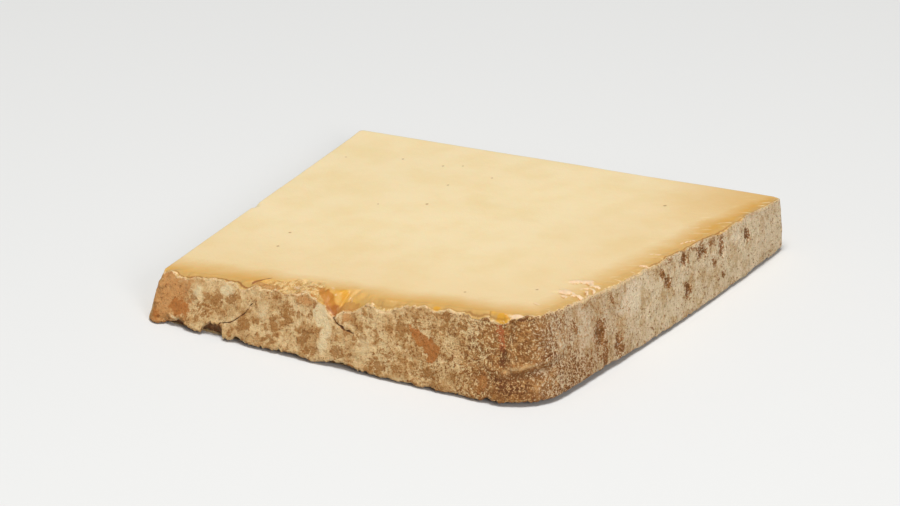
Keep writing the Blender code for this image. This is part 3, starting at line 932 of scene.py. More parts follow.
            crest = crest * self.lining() * noise.share(ground, Texture.GROOVE_SHARE, sizes.groove_swing)
            dust = noise.share(ground, Texture.CRUMB_DUST, sizes.crumb_swing)
            fall = drop * shape + sizes.crumb_depth * share * left * dust
            fall = fall + self.jag * math.exp(-amount / sizes.jag_reach)
            fall = fall + self.teeth * math.exp(-amount / sizes.tooth_reach)
            fall = fall - sizes.chips * inside * lump + sizes.groove * crest
            up, hollow, torn = self.flap_relief(plan)
            points = np.column_stack([plan, self.height(plan) - fall + up - sizes.flap_hollow * hollow])
            lip = sizes.lip * share * bell(amount / (slope * ragged) - 1.0, sizes.lip_width)
            # The hollow past a flap is carried for painted shade.
            here = {"ledge": inside, "torn": np.maximum(torn, lip), "shaded": hollow}
            rings.append(self.whole(points, inward=amount, fall=fall, **here))
        return rings

    def drop_beside(self, shift: Array, spread: float) -> Array:
        """The mean drop of the rim over a stretch a little to one side, for each front column.

        Args:
            shift: How far the middle of the stretch is moved along the front.
            spread: Half the length of the stretch.

        Returns:
            The drops. Those of the other columns stay as they are.
        """
        count = self.side_columns[0]
        along, drop = self.along_front[:count], self.drop[:count]
        places = self.along_front + shift
        steps = np.linspace(-spread, spread, self.relief.dip_reads)
        mean = np.mean([np.interp(places + step, along, drop) for step in steps], axis=0)
        return np.where(np.arange(len(self.drop)) < count, mean, self.drop)

    def chips(self, points: Array) -> Array:
        """How far broken paste stands up: flat-topped chips of two sizes with cuts between them."""
        lump = 0.0
        for texture, rise, cut, width in self.relief.chip_sizes:
            _, gap, mark = self.noise.crumbs(points, texture)
            lump = lump + rise * mark - cut * smooth(gap, width, 0.0)
        return lump

    def lining(self) -> Array:
        """How clear the groove and the dark line inside the rim are, for each column."""
        front = np.interp(self.along_front, *zip(*self.front_lining))
        right = np.interp(self.along_right, *zip(*self.right_lining))
        return self.mix(front, right, 0.0)

    def flap_relief(self, xy: Array) -> Array:
        """How far the torn flaps stand up, the depth of the hollows beside them, and the torn edges."""
        ragged = self.relief.flap_ragged * self.noise.rough(on_ground(xy), Texture.FLAP_EDGE)
        return np.max([flap.rise(xy, ragged) for flap in self.flaps], axis=0)

    def cap(self, border: Ring, top: bool) -> list[Ring]:
        """Ever smaller and coarser rings that close a border, and the middle point.

        Args:
            border: The ring that is closed.
            top: True for the cut face on top and False for the underside.

        Returns:
            The rings from the border inwards.
        """
        middle = border.points[:, :2].mean(axis=0)
        rings = []
        for keep, size in (*self.cap_rings, (len(border.points), 0.0)):
            plan = middle + (border.points[::keep, :2] - middle) * size
            up = self.height(plan) if top else np.zeros(len(plan))
            # The underside's cap carries painted shade in full.
            notes = {"inward": self.top_insets[-1]} if top else {"inward": self.under_mark, "under": 1.0}
            rings.append(Ring(np.column_stack([plan, up]), border.columns[::keep], notes))
        return rings


def band(start: int, count: int, inner_start: int, inner_count: int) -> Array:
    """Triangles between a ring and the next one, which has as many, half or one point.

    Args:
        start: The ring's first vertex.
        count: The ring's number of vertices.
        inner_start: The next ring's first vertex.
        inner_count: The next ring's number of vertices.

    Returns:
        Three vertices for each triangle.
    """
    k = np.arange(count)
    ahead = (k + 1) % count
    if inner_count == 1:
        return np.stack([start + k, start + ahead, np.full(count, inner_start)], axis=1)
    if inner_count == count:
        first = np.stack([start + k, start + ahead, inner_start + ahead], axis=1)
        return np.concatenate([first, np.stack([start + k, inner_start + ahead, inner_start + k], axis=1)])
    j = np.arange(inner_count)
    beside = inner_start + (j + 1) % inner_count
    here = inner_start + j
    one, two, three = start + 2 * j, start + 2 * j + 1, start + (2 * j + 2) % count
    faces = [(one, two, here), (two, beside, here), (two, three, beside)]
    return np.concatenate([np.stack(face, axis=1) for face in faces])


def add_object(name: str, data: bpy.types.ID) -> bpy.types.Object:
    """Adds an object to the scene."""
    thing = bpy.data.objects.new(name, data)
    bpy.context.scene.collection.objects.link(thing)
    return thing


# Shader expressions


def operator(operation: str, swapped: bool = False) -> Callable[["Wire", "Wire | float"], "Wire"]:
    """Makes an operator of a wire, which adds one Math node.

    Args:
        operation: The node's operation.
        swapped: True where the wire is the second of the two numbers.

    Returns:
        The operator, as a method.
    """

    def apply(wire: "Wire", other: "Wire | float") -> "Wire":
        """Puts the wire and the other number into the node."""
        return wire.sheet.maths(operation, *((other, wire) if swapped else (wire, other)))

    return apply


class Wire:
    """A shader socket that can stand in a sum. Each operator adds one Math node."""

    __add__ = __radd__ = operator("ADD")
    __mul__ = __rmul__ = operator("MULTIPLY")
    __sub__ = operator("SUBTRACT")
    __rsub__ = operator("SUBTRACT", swapped=True)
    __truediv__ = operator("DIVIDE")
    __pow__ = operator("POWER")
    most = operator("MAXIMUM")
    least = operator("MINIMUM")

    def __init__(self, sheet: "Sheet", socket: bpy.types.NodeSocket) -> None:
        """Keeps the socket and the material that it is in."""
        self.sheet = sheet
        self.socket = socket

    def step(self, low: float, high: float) -> "Wire":
        """Eases from 0 at low to 1 at high. Low may be the larger."""
        settings = {"interpolation_type": "SMOOTHSTEP"}
        sockets = {"Value": self, "From Min": low, "From Max": high}
        return self.sheet.add("ShaderNodeMapRange", settings, sockets, "Result")

    def swing(self, size: float) -> "Wire":
        """Noise as a number that goes both ways from 0: the size times how far it is from a half."""
        return size * (self - 0.5)


Colour = tuple[float, float, float, float]


@dataclass(frozen=True)
class Tone:
    """A colour as it is read off: red, green and blue from 0 to 255."""

    red: float
    green: float
    blue: float

    def linear(self) -> Colour:
        """The colour as the renderer counts light: ((c + 0.055) / 1.055) to the power 2.4."""
        shares = [c / 255.0 for c in (self.red, self.green, self.blue)]
        parts = [((c + 0.055) / 1.055) ** 2.4 if c > 0.04045 else c / 12.92 for c in shares]
        return (*parts, 1.0)


class Sheet:
    """The nodes of one material."""

    def __init__(self, name: str) -> None:
        """Starts a material with its shader, and the place on the piece in metres."""
        self.material = bpy.data.materials.new(name)
        self.material.use_nodes = True
        self.tree = self.material.node_tree
        self.shader = self.tree.nodes["Principled BSDF"]
        self.place = self.add("ShaderNodeTexCoord", {}, {}, "Object")

    def add(self, kind: str, settings: dict, sockets: dict, result: str | int) -> Wire:
        """Adds any node.

        Args:
            kind: The node's type.
            settings: The node's own settings, set first.
            sockets: The value or the wire for each of its inputs, by name or number.
            result: The name or number of the output that is used.

        Returns:
            The output.
        """
        node = self.tree.nodes.new(kind)
        for name, value in settings.items():
            setattr(node, name, value)
        for key, value in sockets.items():
            self.feed(node.inputs[key], value)
        return Wire(self, node.outputs[result])

    def feed(self, socket: bpy.types.NodeSocket, value: "Wire | Tone | float | tuple") -> None:
        """Gives an input a wire, a colour or a plain value."""
        if isinstance(value, Wire):
            self.tree.links.new(value.socket, socket)
        elif isinstance(value, Tone):
            socket.default_value = value.linear()
        else:
            socket.default_value = value

    def shade(self, values: dict[str, "Wire | Tone | float"]) -> bpy.types.Material:
        """Gives the shader's inputs their values, by name, and returns the material."""
        for name, value in values.items():
            self.feed(self.shader.inputs[name], value)
        return self.material

    def maths(self, operation: str, *values: "Wire | float") -> Wire:
        """One Math node on two numbers."""
        return self.add("ShaderNodeMath", {"operation": operation}, dict(enumerate(values)), 0)

    def coats(self, colour: "Wire | Tone", *coats: "tuple[Wire, Wire | Tone]") -> Wire:
        """Lays colours over a colour, one after the other.

        Args:
            colour: The first colour.
            coats: How much of each further colour shows, and that colour.

        Returns:
            The mixed colour.
        """
        settings = {"data_type": "RGBA", "clamp_factor": True}
        for share, coat in coats:
            colour = self.add("ShaderNodeMix", settings, {0: share, 6: colour, 7: coat}, 2)
        return colour

    def attribute(self, name: str) -> Wire:
        """Reads a number that the mesh carries at its points."""
        return self.add("ShaderNodeAttribute", {"attribute_name": name}, {}, "Fac")

    def vector(self, x: "Wire | float", y: "Wire | float", z: "Wire | float") -> Wire:
        """Puts three numbers together."""
        return self.add("ShaderNodeCombineXYZ", {}, {0: x, 1: y, 2: z}, 0)

    def dot(self, x: float, y: float, z: float = 0.0) -> Wire:
        """How far the place on the piece lies along a direction, in millimetres."""
        sockets = {0: self.place, 1: (x / MM, y / MM, z / MM)}
        return self.add("ShaderNodeVectorMath", {"operation": "DOT_PRODUCT"}, sockets, "Value")

    def gap(self, place: Wire, middle: Array) -> Wire:
        """The distance from a place to a middle, which is given in millimetres, in metres."""
        sockets = {0: place, 1: tuple(float(part) * MM for part in middle)}
        return self.add("ShaderNodeVectorMath", {"operation": "DISTANCE"}, sockets, "Value")

    def clouds(self, length: float, detail: float, rough: float = 0.55, at: "Wire | None" = None) -> Wire:
        """Soft noise from about 0 to 1.

        Args:
            length: The size of its largest forms, in millimetres.
            detail: How many finer layers it has.
            rough: How strong they are.
            at: Where it is read, in millimetres, or the place on the piece if left out.

        Returns:
            The noise.
        """
        place, scale = (self.place, 1.0 / (length * MM)) if at is None else (at, 1.0 / length)
        sockets = {"Vector": place, "Scale": scale, "Detail": detail, "Roughness": rough}
        return self.add("ShaderNodeTexNoise", {}, sockets, "Fac")


# The finish of the slab


@dataclass(frozen=True)
class PasteTones:
    """The colours of the cut paste."""

    middle: Tone = Tone(239, 217, 170)
    cloud: Tone = Tone(232, 205, 148)
    band: Tone = Tone(211, 160, 76)
    edge: Tone = Tone(194, 156, 94)
    streak: Tone = Tone(248, 232, 190)
    broken: Tone = Tone(196, 148, 82)
    bit: Tone = Tone(230, 196, 134)
    step: Tone = Tone(182, 130, 70)
    warm: Tone = Tone(212, 155, 50)
    rust: Tone = Tone(186, 119, 38)
    deep: Tone = Tone(164, 96, 26)
    torn: Tone = Tone(235, 204, 167)
    line: Tone = Tone(140, 84, 38)
    speck: Tone = Tone(148, 102, 46)


@dataclass(frozen=True)
class RindTones:
    """The colours of the rind."""

    cream: Tone = Tone(201, 167, 117)
    beige: Tone = Tone(184, 143, 91)
    tan: Tone = Tone(153, 105, 52)
    brown: Tone = Tone(136, 84, 40)
    peach: Tone = Tone(188, 134, 78)
    pore: Tone = Tone(136, 90, 46)
    # tip: pale grain tips, partly painted highlight, and the painted highlight along the corner ridge.
    tip: Tone = Tone(228, 199, 150)
    blush: Tone = Tone(168, 104, 46)
    chalk: Tone = Tone(218, 196, 152)
    crest: Tone = Tone(238, 206, 156)
    grey: Tone = Tone(221, 198, 161)
    grey_warm: Tone = Tone(196, 163, 117)
    grey_tip: Tone = Tone(240, 220, 187)
    pit: Tone = Tone(150, 96, 44)
    olive: Tone = Tone(110, 70, 26)
    corner: Tone = Tone(134, 83, 35)
    corner_warm: Tone = Tone(160, 108, 53)
    corner_tip: Tone = Tone(205, 157, 99)
    # gap: the corner's dark gaps and pores, partly painted shade, and the painted shade under the corner
    # ridge.
    gap: Tone = Tone(116, 68, 28)
    # dark: the cracks, the deep pits, brown marks, and the painted shade under the slab.
    dark: Tone = Tone(96, 54, 24)
    streak: Tone = Tone(172, 86, 40)


@dataclass
class Layers:
    """The noise and distances that several parts of the finish share."""

    grit: Wire
    fine: Wire
    middle: Wire
    broad: Wire
    ribs: Wire
    bars: Wire
    speckle: Wire
    pores_and_shade: Wire
    tips_and_highlight: Wire
    clumps: Wire
    patchy: Wire
    specks: Wire
    along_right: Wire
    in_front: Wire
    in_right: Wire


@dataclass
class CheeseFinish:
    """The finish of the whole slab: paste where it is cut and rind on the two outer sides.

    A colour is laid on in coats. Each shows by a share, which is noise or a mark that steps from
    0 to 1, often times the most of it that is seen. Noise is given by its length in millimetres,
    its detail and its roughness. Reaches and bands are in millimetres from a rim or a corner.
    """

    form: SlabForm
    paste: PasteTones = field(default_factory=PasteTones)
    rind: RindTones = field(default_factory=RindTones)
    grit_noise: tuple[float, ...] = (0.8, 2.0, 0.6)
    fine_noise: tuple[float, ...] = (1.6, 3.0, 0.68)
    middle_noise: tuple[float, ...] = (3.2, 4.0, 0.66)
    broad_noise: tuple[float, ...] = (9.0, 5.0, 0.62)
    clump_noise: tuple[float, ...] = (2.4, 2.0, 0.55)
    patchy_noise: tuple[float, ...] = (5.0, 3.0)
    blot_noise: tuple[float, ...] = (4.5, 3.0, 0.5)
    wander_noise: tuple[float, ...] = (34.0, 3.0)
    paste_noise: tuple[float, ...] = (24.0, 4.0)
    corner_noise: tuple[float, ...] = (7.0, 4.0)
    rib_size: Pair = (1.2, 6.0)
    bar_size: Pair = (5.0, 18.0)
    front_band: float = 30.0
    right_band: float = 26.0
    band_inside: float = -0.1
    band_power: float = 1.4
    far_band: Pair = (90.0, 170.0)
    broad_band: float = 95.0
    broad_share: float = 0.22
    far_corner_reach: float = 75.0
    far_corner_share: float = 0.52
    near_corner: Pair = (90.0, 36.0)
    pale_far: Pair = (120.0, 200.0)
    streak_way: Pair = (0.88, 0.47)
    streak_size: Pair = (10.0, 1.7)
    streak_share: float = 0.5
    paste_roughness: float = 0.45
    rind_roughness: float = 0.88
    specular: float = 0.3
    subsurface: float = 0.1
    subsurface_depth: float = 0.003
    speck_middle: float = 0.35
    top_specks: tuple[tuple[float, float, float], ...] = (
        (-76.6, 84.9, 0.8), (-52.8, 82.9, 0.8), (-43.8, 86.8, 0.7), (-36.1, 58.3, 0.8),
        (-31.4, 29.4, 1.0), (-53.3, 20.4, 0.6), (-71.6, -31.3, 0.9), (-66.8, -50.1, 0.9),
        (74.0, 73.7, 1.1), (78.3, -62.3, 0.9), (49.1, -77.1, 0.8), (-21.7, 76.4, 0.7),
        (-104.2, 76.4, 0.6),
    )

    def __post_init__(self) -> None:
        """Starts the material, with the numbers that the mesh carries and the shared layers."""
        self.sheet = Sheet("cheese")
        self.marks = {name: self.sheet.attribute(name) for name in SlabMarks.names()}
        self.layers = self.shared_layers()

    def beyond(self, corner: int, way: Array) -> Wire:
        """How far the place lies beyond a corner of the rim, along a direction."""
        start = self.form.rim_corners[corner] - self.form.box_middle
        return self.sheet.dot(*way.tolist()) - float(start @ way)

    def shared_layers(self) -> Layers:
        """Makes the shared noise, and the distances from the rims.

        Ribs and the wider bars are noise that is short along the face and long up it.

        Returns:
            The shared layers.
        """
        form, sheet = self.form, self.sheet
        along_right, up = self.beyond(1, form.right), sheet.dot(0.0, 0.0, 1.0)
        grit, fine, middle = (
            sheet.clouds(*noise) for noise in (self.grit_noise, self.fine_noise, self.middle_noise)
        )
        dots = 0.6 * grit + 0.4 * fine
        ribs, bars = (
            sheet.vector(along_right / size[0], up / size[1], shift)
            for size, shift in ((self.rib_size, 0.0), (self.bar_size, 3.0))
        )
        return Layers(
            grit=grit,
            fine=fine,
            middle=middle,
            broad=sheet.clouds(*self.broad_noise),
            ribs=sheet.clouds(1.0, 3.0, 0.6, ribs),
            bars=sheet.clouds(1.0, 4.0, 0.6, bars),
            speckle=grit.swing(1.6) + fine.swing(2.0) + middle.swing(1.2),
            # Dark pores and pale tips: the rind's mottling, and partly painted shade and painted highlight of
            # its grain.
            pores_and_shade=dots.step(0.55, 0.63),
            tips_and_highlight=dots.step(0.45, 0.37),
            clumps=sheet.clouds(*self.clump_noise) + fine.swing(0.5) + grit.swing(0.3),
            patchy=0.35 + 0.55 * sheet.clouds(*self.patchy_noise).step(0.42, 0.58),
            specks=self.specks(),
            along_right=along_right,
            in_front=self.beyond(0, left_of(form.front)),
            in_right=self.beyond(1, left_of(form.right)),
        )

    def material(self) -> bpy.types.Material:
        """Finishes the material: colour, roughness and bump over one shader."""
        sheet, marks, layers = self.sheet, self.marks, self.layers
        skin = marks["skin"].step(0.35, 0.65)
        # Painted shade on the underside and the lower edge, laid on in the dark colour.
        under = (marks["under"] + layers.fine.swing(0.5)).step(0.1, 0.9) * 0.85
        pitted = (marks["pitted"] + layers.fine.swing(0.4)).step(0.5, 1.1) * 0.35
        rind = sheet.coats(
            self.front_colour(),
            ((marks["side"] + layers.broad.swing(0.6)).step(0.35, 0.65), self.right_colour()),
            ((marks["corner"] + 0.9 * layers.speckle).step(0.2, 0.9) * 0.9, self.corner_colour()),
            ((marks["depth"].step(0.1, 0.7) * 0.9).most(under).most(pitted), self.rind.dark),
        )
        rough = self.paste_roughness + (self.rind_roughness - self.paste_roughness) * skin
        bump = {"Strength": 1.0, "Distance": MM, "Height": self.relief(skin)}
        return sheet.shade({
            "Base Color": sheet.coats(self.paste_colour(), (skin, rind)),
            "Roughness": rough + layers.middle.swing(0.15),
            "Normal": sheet.add("ShaderNodeBump", {}, bump, "Normal"),
            "Subsurface Weight": self.subsurface,
            "Subsurface Scale": self.subsurface_depth,
            "Specular IOR Level": self.specular,
        })

    def specks(self) -> Wire:
        """The small holes in the top: 1 in the middle of each and 0 a radius away."""
        flatten = {0: self.sheet.place, 1: (1.0, 1.0, 0.0)}
        flat = self.sheet.add("ShaderNodeVectorMath", {"operation": "MULTIPLY"}, flatten, 0)
        total: Wire | float = 0.0
        for x, y, radius in self.top_specks:
            gap = self.sheet.gap(flat, np.array([x, y, 0.0]) - (*self.form.box_middle, 0.0))
            total = gap.step(radius * MM, self.speck_middle * radius * MM) + total
        return total.least(1.0)

    def streaks(self) -> Wire:
        """Faint pale streaks in the paste: noise that is long one way and short the other."""
        along = np.array(self.streak_way)
        ways = zip((along, left_of(along)), self.streak_size)
        place = self.sheet.vector(*(self.sheet.dot(*way.tolist()) / size for way, size in ways), 0.0)
        return self.sheet.clouds(1.0, 3.0, 0.6, place).step(0.57, 0.72) * self.streak_share

    def ochre(self) -> tuple[Wire, Wire]:
        """How ochre the paste is.

        The ochre is strongest at the rims and fades over a narrow and a broad band, and round the
        far corner.

        Returns:
            The share of ochre, and that of the right band alone.
        """
        form, layers = self.form, self.layers
        wander = self.sheet.clouds(*self.wander_noise).swing(14.0) + layers.broad.swing(5.0)
        in_front, in_right = layers.in_front + wander, layers.in_right + wander
        front, right = (
            gap.step(width, self.band_inside * width) ** self.band_power
            for gap, width in ((in_front, self.front_band), (in_right, self.right_band))
        )
        right = right * (0.8 + 0.4 * layers.along_right.step(*self.far_band))
        broad = in_front.least(in_right).step(self.broad_band, 0.0) * self.broad_share
        corner = (*(form.rim_corners[2] - form.box_middle), form.thickness[2])
        far = self.sheet.gap(self.sheet.place, corner).step(self.far_corner_reach * MM, 0.0)
        return front.most(right).most(broad + far * self.far_corner_share), right

    def paste_colour(self) -> Wire:
        """The cut paste: cream in the middle, ochre towards the rind, orange where it broke."""
        tones, sheet, marks, layers = self.paste, self.sheet, self.marks, self.layers
        fine, middle = layers.fine, layers.middle
        band, right_band = self.ochre()
        broken = sheet.coats(
            tones.bit,
            (layers.clumps.step(0.4, 0.62), tones.broken),
            (layers.pores_and_shade * 0.6, tones.step),
            (layers.tips_and_highlight * 0.5, tones.torn),
        )
        # Painted shade in the hollows past the torn flaps, in the step colour with the tan marks.
        stepped = marks["shaded"].most(self.stain("tan", fine.swing(0.6), 0.1, 0.6))
        inward = marks["inward"] + middle.swing(1.1)
        line = inward.step(0.6, 1.0) * inward.step(1.5, 1.1) * marks["lined"]
        line = line.most(self.stain("brown", fine.swing(0.6), 0.2, 0.7))
        strip = (marks["inward"] + middle.swing(3.0)).step(4.5, 1.5) * 0.75
        crest = (inward + fine.swing(2.4)).step(0.7, 0.2) * layers.patchy
        return sheet.coats(
            tones.middle,
            (sheet.clouds(*self.paste_noise).step(0.35, 0.75) * 0.6, tones.cloud),
            (band, tones.band),
            (strip * marks["edged"], tones.edge),
            (self.streaks() * (0.15 + right_band), tones.streak),
            (marks["ledge"].step(0.1, 0.6) * 0.8, broken),
            ((marks["warm"] + middle.swing(0.5)).step(0.1, 0.9) * 0.95, tones.warm),
            ((marks["rust"] + middle.swing(0.3)).step(0.15, 0.75) * 0.9, tones.rust),
            ((marks["deep"] + fine.swing(0.3)).step(0.25, 0.9), tones.deep),
            (stepped.step(0.2, 0.9) * 0.75, tones.step),
            (line * 0.85, tones.line),
            (crest * marks["edged"], self.rind.crest),
            ((marks["torn"].most(marks["chalk"]) + fine.swing(0.6)).step(0.25, 0.9) * 0.9, tones.torn),
            (layers.specks * 0.75, tones.speck),
        )

    def stain(self, name: str, ragged: Wire, low: float, high: float) -> Wire:
        """How much of a mark shows: its edge is bent by noise, and away from it there is none.

        Args:
            name: The mark.
            ragged: The noise that bends its edge.
            low: Where the mark begins to show.
            high: Where it shows in full.

        Returns:
            The share of the mark's colour.
        """
        mark = self.marks[name]
        return (mark + ragged).step(low, high) * mark.step(0.0, 0.15)

    def front_colour(self) -> Wire:
        """The front rind: chalky cream mottled with tan, brown, blush and chalk marks."""
        tones, sheet, marks, layers = self.rind, self.sheet, self.marks, self.layers
        speckle = layers.speckle
        soft = layers.middle + layers.broad.swing(0.5)
        blots = sheet.clouds(*self.blot_noise) + layers.fine.swing(0.3)
        crest = (marks["inward"] + layers.fine.swing(2.2) + layers.middle.swing(1.5)).step(-0.6, -0.1)
        return sheet.coats(
            tones.cream,
            (layers.broad.step(0.42, 0.6), tones.beige),
            (soft.step(0.5, 0.66) * 0.35, tones.tan),
            (soft.step(0.5, 0.34) * 0.5, tones.tip),
            (blots.step(0.54, 0.62) * 0.7, tones.tan),
            (self.stain("tan", 0.6 * speckle, 0.2, 0.65) * 0.85, tones.tan),
            (layers.pores_and_shade * 0.75 * marks["gritty"], tones.pore),
            (layers.tips_and_highlight * 0.6 * marks["gritty"], tones.tip),
            (self.stain("warm", 0.15 * speckle, 0.0, 0.8) * 0.85, tones.peach),
            (self.stain("chalk", 0.3 * speckle, 0.15, 0.7) * 0.85, tones.chalk),
            (self.stain("brown", 0.8 * speckle, 0.3, 0.8) * 0.85, tones.brown),
            (self.stain("blush", 0.25 * speckle, 0.15, 0.55) * 0.9, tones.blush),
            (crest * layers.patchy, tones.crest),
        )

    def right_colour(self) -> Wire:
        """The right rind: greyish beige with fine upright ribs, flecks and brown pits."""
        tones, marks, layers = self.rind, self.marks, self.layers
        fine, middle, ribs = layers.fine, layers.middle, layers.ribs
        near = layers.along_right.step(*self.near_corner)
        flecks = (middle + layers.grit.swing(0.6)).step(0.63, 0.72) * 0.65
        spot = marks["brown"] + 1.3 * layers.speckle
        shown = marks["brown"].step(0.0, 0.15).most(0.12 + 0.35 * near)
        rusty = (marks["inward"] + middle.swing(3.0)).step(-3.2, -0.8) * marks["lined"]
        crest = (marks["inward"] + fine.swing(3.0) + middle.swing(2.0)).step(-1.5, -0.5)
        return self.sheet.coats(
            tones.grey,
            ((layers.broad + middle.swing(0.3)).step(0.44, 0.62), tones.grey_warm),
            ((layers.bars + fine.swing(0.3)).step(0.44, 0.58) * (0.25 + 0.5 * near), tones.grey_warm),
            (self.stain("chalk", 0.5 * layers.speckle, 0.15, 0.8) * 0.8, tones.grey_tip),
            (near * 0.36, tones.tan),
            (layers.along_right.step(*self.pale_far) * 0.3, tones.grey_tip),
            (ribs.step(0.52, 0.66) * 0.25, tones.tan),
            (ribs.step(0.48, 0.34) * 0.3, tones.grey_tip),
            (flecks.most(layers.pores_and_shade * (0.2 + 0.4 * near)), tones.pit),
            (layers.tips_and_highlight * 0.3, tones.grey_tip),
            (spot.step(0.2, 0.6) * shown * 0.9, tones.pit),
            (spot.step(0.85, 1.25) * shown * 0.65, tones.olive),
            (rusty * layers.clumps.step(0.5, 0.6), tones.pit),
            (crest * 0.85 * (1.0 - marks["lined"]), tones.crest),
        )

    def corner_colour(self) -> Wire:
        """The front corner: brown, with cream grains and dark pores."""
        tones, sheet, marks, layers = self.rind, self.sheet, self.marks, self.layers
        clumps, speckle = layers.clumps, layers.speckle
        return sheet.coats(
            tones.corner,
            (sheet.clouds(*self.corner_noise).step(0.4, 0.6), tones.corner_warm),
            # Dark gaps between the clumps, which lie low in the bump, and pale tips, which stand high: the
            # corner's brown and cream, partly painted shade and painted highlight.
            (clumps.step(0.52, 0.68) * 0.55, tones.gap),
            (clumps.step(0.48, 0.32) * 0.6, tones.corner_tip),
            (layers.pores_and_shade * 0.6, tones.gap),
            (layers.tips_and_highlight * 0.5, tones.corner_tip),
            # Painted shade in the hollow under the corner ridge, and a painted highlight along its crest.
            (marks["hollow"].step(0.2, 0.9) * 0.8, tones.gap),
            ((marks["crest"] + layers.fine.swing(0.8)).step(0.75, 1.05) * 0.5, tones.tip),
            (self.stain("deep", 0.6 * speckle, 0.3, 0.7) * 0.85, tones.streak),
            (self.stain("brown", speckle, 0.3, 0.8) * 0.85, tones.dark),
            (self.stain("chalk", 0.5 * speckle, 0.3, 0.8) * 0.85, tones.corner_tip),
        )

    def relief(self, skin: Wire) -> Wire:
        """The height of the finest forms, in millimetres.

        The paste has a faint grain and the small holes. The rind has a coarse grain, ribs on the
        right side and a coarser grain at the corner.

        Args:
            skin: How much of a place is rind.

        Returns:
            The height.
        """
        marks, layers = self.marks, self.layers
        paste = 0.1 * layers.fine + 0.25 * layers.broad - 0.3 * layers.specks
        paste = paste + marks["ledge"] * (1.2 * layers.middle + 0.8 * layers.fine)
        grain = marks["gritty"] * (0.35 * layers.grit + 0.7 * layers.fine) + 1.4 * layers.middle
        grain = grain + 0.4 * layers.ribs * marks["side"] - 0.5 * layers.clumps * marks["corner"]
        return paste * (1.0 - skin) + grain * skin


# The slab


